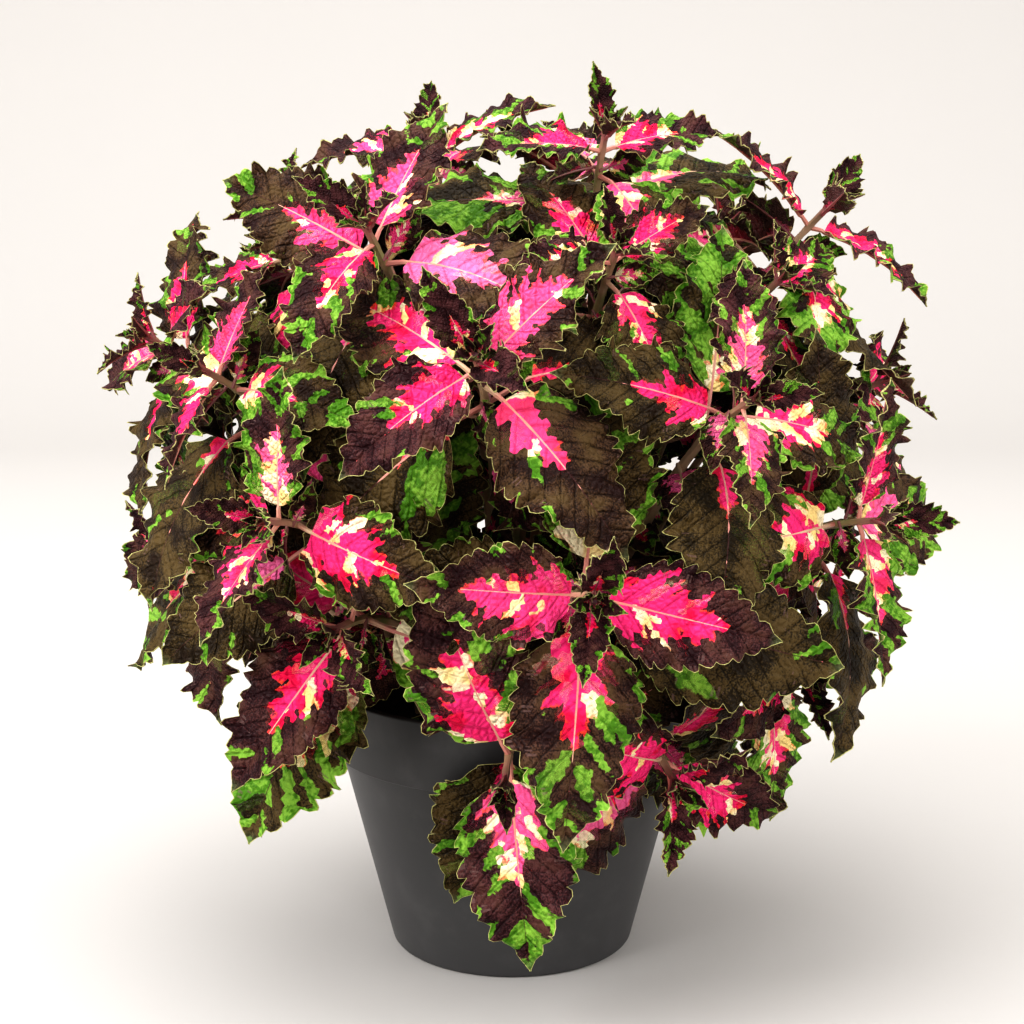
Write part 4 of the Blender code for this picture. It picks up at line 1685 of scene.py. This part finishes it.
@dataclass
class Pot:
    """The nursery pot: a tapered body under a deep collar, with drain holes in its floor."""

    height: float = 0.140
    base_radius: float = 0.063
    body_top_radius: float = 0.089
    collar_height: float = 0.034
    collar_radius: float = 0.095
    wall: float = 0.0022
    floor: float = 0.003
    edge_round: float = 0.0012
    foot_round: float = 0.004
    foot_arc: float = 0.0030
    drains: int = 6
    drain_radius: float = 0.005
    drain_ring: float = 0.042
    fine_steps: int = 144
    arc_steps: int = 5
    finish: PotFinish = PotFinish()

    def profile(self) -> list[tuple[float, float]]:
        """(radius, height) of the solid pot from the middle of its floor inside, over the collar and down."""
        low = self.height - self.collar_height
        inner = self.collar_radius - self.wall - self.edge_round
        return [
            (0.0, self.floor),
            (self.base_radius - self.wall, self.floor),
            (self.body_top_radius - self.wall, low),
            (inner, low + self.wall),
            (inner, self.height),
            (self.collar_radius - self.edge_round, self.height),
            (self.collar_radius, self.height - self.edge_round),
            (self.collar_radius, low + self.edge_round),
            (self.collar_radius - self.edge_round, low),
            (self.body_top_radius, low),
            (self.base_radius, self.foot_round),
            (self.base_radius - 0.7 * self.foot_round, 0.0),
            (0.0, 0.0),
        ]

    def fine_profile(self) -> list[tuple[float, float]]:
        """The same profile with its outer corners rounded by arcs.

        Returns:
            (radius, height) in order.
        """
        plain = self.profile()
        edge, low = self.edge_round, self.height - self.collar_height
        top = self.arc(self.collar_radius - edge, self.height - edge, edge, 90, 0)
        under = self.arc(self.collar_radius - edge, low + edge, edge, 0, -90)
        lean = math.degrees(math.atan2(self.body_top_radius - self.base_radius, low))
        foot = self.arc(self.base_radius - self.foot_arc, self.foot_arc, self.foot_arc, -lean, -90)
        return [*plain[:5], *top, *under, plain[9], *foot, plain[-1]]

    def arc(self, x: float, z: float, radius: float, start: float, end: float) -> list[tuple[float, float]]:
        """Points on an arc of the profile between two angles in degrees."""
        angles = [math.radians(start + (end - start) * k / self.arc_steps) for k in range(self.arc_steps + 1)]
        return [(x + radius * math.cos(a), z + radius * math.sin(a)) for a in angles]

    def build(self) -> bpy.types.Object:
        """Makes the pot with its drain holes.

        Returns:
            The pot.
        """
        profile = self.fine_profile()
        ring = np.array([on_bearing(360 * k / self.fine_steps, 1, 0) for k in range(self.fine_steps)])
        body = np.array([[(r * x, r * y, z) for x, y, _ in ring] for r, z in profile[1:-1]])
        skin = Skin()
        count, around = body.shape[:2]
        index = np.arange(count * around).reshape(count, around)
        lower, upper = index[1:], index[:-1]
        walls = np.stack([lower, np.roll(lower, -1, 1), np.roll(upper, -1, 1), upper], -1).reshape(-1, 4)
        middles = np.array([(0, 0, profile[0][1]), (0, 0, profile[-1][1])])
        inner = np.stack([np.roll(index[0], -1), np.full(around, count * around), index[0]], -1)[:, ::-1]
        outer = np.stack([np.roll(index[-1], -1), index[-1], np.full(around, count * around + 1)], -1)
        skin.add(np.concatenate([body.reshape(-1, 3), middles]), [walls, inner, outer], np.zeros(4))
        pot = skin.make("pot_looks", self.finish.make(), 35.0)
        self.drill(pot)
        return pot

    def drill(self, pot: bpy.types.Object) -> None:
        """Cuts the drain holes.

        Args:
            pot: the pot, whose mesh is changed.
        """
        for k in range(self.drains):
            place = on_bearing(360 * (k + 0.5) / self.drains, self.drain_ring, 0.0)
            bpy.ops.mesh.primitive_cylinder_add(vertices=28, radius=self.drain_radius, depth=0.03, location=place)
            cutter = bpy.context.object
            boolean = pot.modifiers.new("Drain", "BOOLEAN")
            boolean.object = cutter
            bpy.context.view_layer.update()
            shaped = bpy.data.meshes.new_from_object(pot.evaluated_get(bpy.context.evaluated_depsgraph_get()))
            pot.modifiers.clear()
            pot.data = shaped
            bpy.data.objects.remove(cutter)


@dataclass
class Soil:
    """The crumbly soil, crowned a little below the pot's rim."""

    pot: Pot
    top: float = 0.124
    crown: float = 0.003
    gap: float = 0.0004
    around: int = 120
    rings: int = 34
    roughness: float = 0.0016
    crumbs: int = 420
    specks: int = 46
    crumb_size: tuple[float, float] = (0.0010, 0.0030)
    speck_size: tuple[float, float] = (0.0009, 0.0017)
    bare_edge: float = 0.004
    seed: int = 11
    finish: SoilFinish = SoilFinish()

    def profile(self) -> list[tuple[float, float]]:
        """(radius, height) of the solid soil from the middle of its crown to the middle of its underside."""
        low = self.pot.height - self.pot.collar_height
        collar = self.pot.collar_radius - self.pot.wall - self.pot.edge_round - self.gap
        body = self.pot.body_top_radius - self.pot.wall - 2 * self.gap
        return [
            (0.0, self.top + self.crown),
            (0.5 * body, self.top + 0.7 * self.crown),
            (collar, self.top - self.crown),
            (collar, low + self.pot.wall + self.gap),
            (body, low + self.gap),
            (self.pot.base_radius - self.pot.wall - 3 * self.gap, self.pot.floor + self.gap),
            (0.0, self.pot.floor + self.gap),
        ]

    def height_at(self, x: float, y: float) -> float:
        """The soil's height at a place, with its small hollows.

        Args:
            x: the place, in metres.
            y: the place, in metres.

        Returns:
            The height in metres.
        """
        collar = self.profile()[2][0]
        radius = math.hypot(x, y) / collar
        smooth = self.top + self.crown * (1 - 2 * radius**2)
        edge = min(1.0, (1 - radius) * 12)
        rough = noise.fractal(Vector((x, y, 0.3)) * 160, 0.7, 2.1, 4)
        return smooth + self.roughness * rough * max(edge, 0.0)

    def build(self) -> bpy.types.Object:
        """Makes the soil with its crumbs.

        Returns:
            The soil.
        """
        profile = self.profile()
        collar = profile[2][0]
        ring = [on_bearing(360 * k / self.around, 1, 0) for k in range(self.around)]
        rows = []
        for k in range(1, self.rings + 1):
            radius = collar * k / self.rings
            rows.append([(radius * p.x, radius * p.y, self.height_at(radius * p.x, radius * p.y)) for p in ring])
        rows += [[(r * p.x, r * p.y, z) for p in ring] for r, z in profile[3:-1]]
        body = np.array(rows)
        count = len(rows)
        index = np.arange(count * self.around).reshape(count, self.around)
        lower, upper = index[1:], index[:-1]
        walls = np.stack([lower, np.roll(lower, -1, 1), np.roll(upper, -1, 1), upper], -1).reshape(-1, 4)
        middles = np.array([(0, 0, self.height_at(0, 0)), (0, 0, profile[-1][1])])
        high = np.full(self.around, count * self.around)
        crown = np.stack([index[0], np.roll(index[0], -1), high], -1)
        floor = np.stack([np.roll(index[-1], -1), index[-1], high + 1], -1)
        skin = Skin()
        skin.add(np.concatenate([body.reshape(-1, 3), middles]), [walls, crown, floor], np.zeros(4))
        self.scatter(skin, collar)
        return skin.make("soil_looks", self.finish.make(), 80.0)

    def scatter(self, skin: Skin, collar: float) -> None:
        """Adds crumbs and pale specks, half sunk in the soil.

        Args:
            skin: the piece that they join.
            collar: the soil's radius.
        """
        rng = random.Random(self.seed)
        points, faces = self.lump()
        for k in range(self.crumbs + self.specks):
            speck = k >= self.crumbs
            radius = (collar - self.bare_edge) * math.sqrt(rng.random())
            place = on_bearing(rng.uniform(0, 360), radius, 0)
            size = rng.uniform(*(self.speck_size if speck else self.crumb_size))
            about_z = Matrix.Rotation(rng.uniform(0, 6.3), 3, "Z")
            about_x = Matrix.Rotation(rng.uniform(0, 6.3), 3, "X")
            spin = np.array(about_z @ about_x)
            shape = points * np.array([rng.uniform(0.75, 1.25) for _ in points])[:, None]
            shape = shape * size @ spin.T * np.array((1.0, 1.0, 0.7))
            middle = np.array((place.x, place.y, self.height_at(place.x, place.y) + 0.2 * size))
            kind = np.array((rng.random(), 1.0 if speck else 0.0, 0.0, 0.0))
            skin.add(shape + middle, [faces], kind)

    @staticmethod
    def lump() -> tuple[np.ndarray, np.ndarray]:
        """The twelve points and twenty faces of a round lump."""
        bpy.ops.mesh.primitive_ico_sphere_add(subdivisions=1, radius=1.0)
        made = bpy.context.object
        points = np.array([v.co for v in made.data.vertices])
        faces = np.array([p.vertices for p in made.data.polygons])
        bpy.data.objects.remove(made)
        return points, faces


@dataclass
class Plant:
    """The whole plant: its routes, its leaves' places, and their fine pieces.

    The places are found with coarse leaves that cross nothing. The fine leaves' teeth and frills aren't tested, and
    some of them cross a neighbour.
    """

    pot: Pot
    soil: Soil
    leaf_finish: LeafFinish = LeafFinish()
    stem_finish: StemFinish = StemFinish()
    bud_trials: int = 7
    bud_rise: float = 0.0035
    bud_tilt: float = 0.9
    bud_lean: tuple[float, float] = (34, 78)
    bud_size: tuple[float, float] = (0.75, 1.3)
    bud_knee: tuple[float, float] = (0, 16)
    bud_droop: tuple[float, float] = (10, 45)
    budding_pair: int = 2
    bare_end: float = 0.02
    bare_nodes: tuple[float, ...] = (0.066, 0.085, 0.106, 0.130)

    def routes(self) -> dict[str, list[Grown]]:
        """Lays every shoot's route.

        Returns:
            The shoots of each stem, by its name, with no leaves yet.
        """
        plant = {}
        number = 0
        for stem in STEMS:
            foot = on_bearing(stem.soil_bearing, stem.soil_radius, self.soil.top - ROOT_DEPTH)
            shoots: list[Grown] = []
            for order, shoot in enumerate(stem.shoots):
                level = math.radians(shoot.latitude)
                radial = on_bearing(shoot.bearing, math.cos(level), math.sin(level))
                tip = DOME_CENTRE + radial * shoot.reach
                tip_way = (radial + LIGHT_PULL).normalized()
                if order == 0:
                    start = on_bearing(stem.soil_bearing, stem.soil_radius, self.soil.top)
                    way = (Vector((0, 0, 1)) + radial * 0.12).normalized()
                else:
                    leader = shoots[0].route
                    distance = leader.length - BRANCH_RISES[order - 1]
                    middle = leader.frame(distance)[0]
                    face = max(range(4), key=lambda k: leader.face_way(distance, k).dot(tip - middle))
                    out = leader.face_way(distance, face)
                    way = (out + Vector((0, 0, 0.9))).normalized()
                    start = middle + out * stem_half(distance)
                route = Route(start, way, tip, tip_way, shoot.turn)
                shoots.append(Grown(stem.name, number, shoot, route, foot, order == 0))
                number += 1
            plant[stem.name] = shoots
        return plant

    def grow(self) -> dict[str, list[Grown]]:
        """Puts each leaf where its coarse form crosses nothing, from the young pairs to the old.

        Returns:
            The shoots of each stem, by its name.
        """
        plant = self.routes()
        growing = [grown for shoots in plant.values() for grown in shoots]
        placed = [
            Solid.of("pot", -1, *lathed(self.pot.profile(), POT_STEPS)),
            Solid.of("soil", -1, *lathed(self.soil.profile(), SOIL_STEPS)),
            *[grown.stem_solid() for grown in growing],
        ]
        for order, tier in enumerate(TIERS):
            for grown in growing:
                for side in (0, 1):
                    if (order, side) in grown.shoot.shed:
                        continue
                    for trial in range(TRIALS):
                        form = grown.leaf_form(tier, order, side, trial)
                        if grown.fits(form, placed):
                            placed.append(grown.leaf_solid(form, 0.0))
                            grown.leaves[order, side] = form
                            break
        self.add_axils(growing, placed)
        return plant

    def add_axils(self, growing: list[Grown], placed: list[Solid]) -> None:
        """Adds the small leaves of side buds: in the axils of the grown leaves, and at the bare nodes below them.

        Args:
            growing: all the shoots.
            placed: what already stands.
        """
        for grown in growing:
            for (order, side), leaf in grown.leaves.items():
                if order >= self.budding_pair:
                    distance = leaf.tier.below_tip * leaf.tier.scale(grown.shoot.vigour) - self.bud_rise
                    self.add_side_bud(grown, distance, leaf.way, AXIL, placed)
            for number, distance in enumerate(self.bare_nodes):
                if distance < grown.route.length - self.bare_end:
                    for side in (0, 1):
                        out = grown.route.face_way(distance, 2 * side + number % 2)
                        self.add_side_bud(grown, distance, out, INNER, placed)

    def add_side_bud(self, grown: Grown, distance: float, out: Vector, tier: Tier, placed: list[Solid]) -> None:
        """Adds the two small leaves of a side bud, as far as they find room.

        Args:
            grown: its shoot.
            distance: how far it stands below the shoot's tip.
            out: the way that it looks.
            tier: its leaves' sizes.
            placed: what already stands.
        """
        point, axis, _, _ = grown.route.frame(distance)
        away = (out - axis * out.dot(axis)).normalized()
        middle = (away + axis * self.bud_tilt).normalized()
        for half in Side:
            across = middle.cross(axis).normalized() * half.value
            for trial in range(self.bud_trials):
                rng = random.Random(f"{grown.number} {distance:.4f} {half.value} {trial}")
                lean = math.radians(rng.uniform(*self.bud_lean))
                way = middle * math.cos(lean) + across * math.sin(lean)
                up = turned(middle * math.sin(lean) - across * math.cos(lean), way, rng.gauss(0, 12))
                form = LeafForm(
                    tier=tier,
                    start=point + away * stem_half(distance),
                    way=way,
                    up=up,
                    size=rng.uniform(*self.bud_size) * (1 - 0.05 * trial),
                    knee=rng.uniform(*self.bud_knee),
                    droop=rng.uniform(*self.bud_droop),
                    twist=rng.gauss(0, 6),
                    seed=grown.number * 1000 + len(grown.axils),
                )
                if grown.fits(form, placed):
                    grown.axils.append(form)
                    placed.append(grown.leaf_solid(form, 0.0))
                    break

    def build(self) -> list[bpy.types.Object]:
        """Makes the plant's pieces, two for each stem.

        Returns:
            The pieces.
        """
        leaf = self.leaf_finish.make()
        flesh = self.stem_finish.make()
        made = []
        plant = self.grow()
        LOG.info("%d small leaves", sum(len(g.axils) for shoots in plant.values() for g in shoots))
        for name, shoots in plant.items():
            stems = Skin()
            blades = Skin()
            for grown in shoots:
                ShootLooks(grown).add_to(stems, blades)
            for skin, suffix, material in ((stems, "stalks", flesh), (blades, "leaves", leaf)):
                piece = skin.make(f"{name}_{suffix}", material)
                settle(piece, name)
                made.append(piece)
        return made


@dataclass(frozen=True)
class Panel:
    """A square soft light: where it stands, its side in metres and its power in watts."""

    name: str
    place: tuple[float, float, float]
    size: float
    power: float


@dataclass
class Studio:
    """A pale sweep of paper under soft light from above and from the left."""

    depth: float = 1.6
    bend: float = 0.9
    width: float = 5.0
    paper: Colour = (0.505, 0.488, 0.472)
    aim: tuple[float, float, float] = (0.0, 0.0, 0.25)
    panels: tuple[Panel, ...] = (
        Panel("key_light", (-1.60, -1.15, 1.55), 1.4, 37.0),
        Panel("top_light", (-0.25, 0.15, 2.30), 2.2, 30.0),
        Panel("right_light", (1.90, -1.10, 1.60), 1.8, 18.0),
    )
    sky: Colour = (1.0, 0.985, 0.97)
    sky_strength: float = 1.0

    def build(self) -> None:
        """Makes the paper, the lights and the sky."""
        self.sweep()
        for panel in self.panels:
            self.hang(panel)
        world = bpy.data.worlds.new("soft_sky")
        world.use_nodes = True
        background = world.node_tree.nodes["Background"]
        background.inputs["Color"].default_value = (*self.sky, 1.0)
        background.inputs["Strength"].default_value = self.sky_strength
        bpy.context.scene.world = world
        bpy.context.scene.view_settings.view_transform = "Standard"
        bpy.context.scene.view_settings.look = "High Contrast"

    def sweep(self) -> None:
        """Makes the floor that curves up into the backdrop."""
        profile = [(-4.0, 0.0), (self.depth, 0.0)]
        for k in range(1, 13):
            angle = math.pi / 2 * k / 12
            profile.append((self.depth + self.bend * math.sin(angle), self.bend * (1 - math.cos(angle))))
        profile.append((self.depth + self.bend, 4.0))
        points = [(x, y, z) for y, z in profile for x in (-self.width, self.width)]
        faces = [(2 * k, 2 * k + 1, 2 * k + 3, 2 * k + 2) for k in range(len(profile) - 1)]
        mesh = bpy.data.meshes.new("paper_sweep")
        mesh.from_pydata(points, [], faces)
        mesh.shade_smooth()
        p = Palette("paper", self.paper)
        grain = p.cloud(p.object_place(), 3.0, 2.0)
        p.feed("Base Color", p.mixed(grain, self.paper, tuple(0.985 * c for c in self.paper)))
        p.feed("Roughness", 0.9)
        p.feed("Specular IOR Level", 0.1)
        mesh.materials.append(p.material)
        paper = bpy.data.objects.new("paper_sweep", mesh)
        bpy.context.scene.collection.objects.link(paper)

    def hang(self, panel: Panel) -> None:
        """Makes one soft light that looks at the plant.

        Args:
            panel: the light.
        """
        data = bpy.data.lights.new(panel.name, "AREA")
        data.size = panel.size
        data.energy = panel.power
        light = bpy.data.objects.new(panel.name, data)
        light.location = panel.place
        light.rotation_euler = (Vector(self.aim) - Vector(panel.place)).to_track_quat("-Z", "Y").to_euler()
        bpy.context.scene.collection.objects.link(light)


@dataclass
class ViewPoint:
    """The camera, a metre before the plant and a little above it, looking slightly down."""

    place: tuple[float, float, float] = (0.0, -1.0, 0.42)
    tilt_down: float = 11.0
    lens: float = 70.3

    def build(self) -> None:
        """Makes the camera."""
        data = bpy.data.cameras.new("camera")
        data.lens = self.lens
        data.sensor_width = 36.0
        data.clip_end = 50.0
        camera = bpy.data.objects.new("camera", data)
        camera.location = self.place
        camera.rotation_euler = (math.radians(90 - self.tilt_down), 0.0, 0.0)
        bpy.context.scene.collection.objects.link(camera)
        bpy.context.scene.camera = camera


def settle(piece: bpy.types.Object, node: str) -> None:
    """Makes a piece stand for a node of the model.

    Args:
        piece: the piece.
        node: the node that it replaces.
    """
    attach(piece, BODY)
    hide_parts(node)
    LOG.info("%s: %d triangles", piece.name, sum(face.loop_total - 2 for face in piece.data.polygons))


def main() -> None:
    """Builds every piece in order."""
    logging.basicConfig(level=logging.INFO, format="%(message)s")
    pot = Pot()
    soil = Soil(pot)
    ViewPoint().build()
    settle(pot.build(), "pot")
    settle(soil.build(), "soil")
    Plant(pot, soil).build()
    Studio().build()


if __name__ == "__main__":
    main()
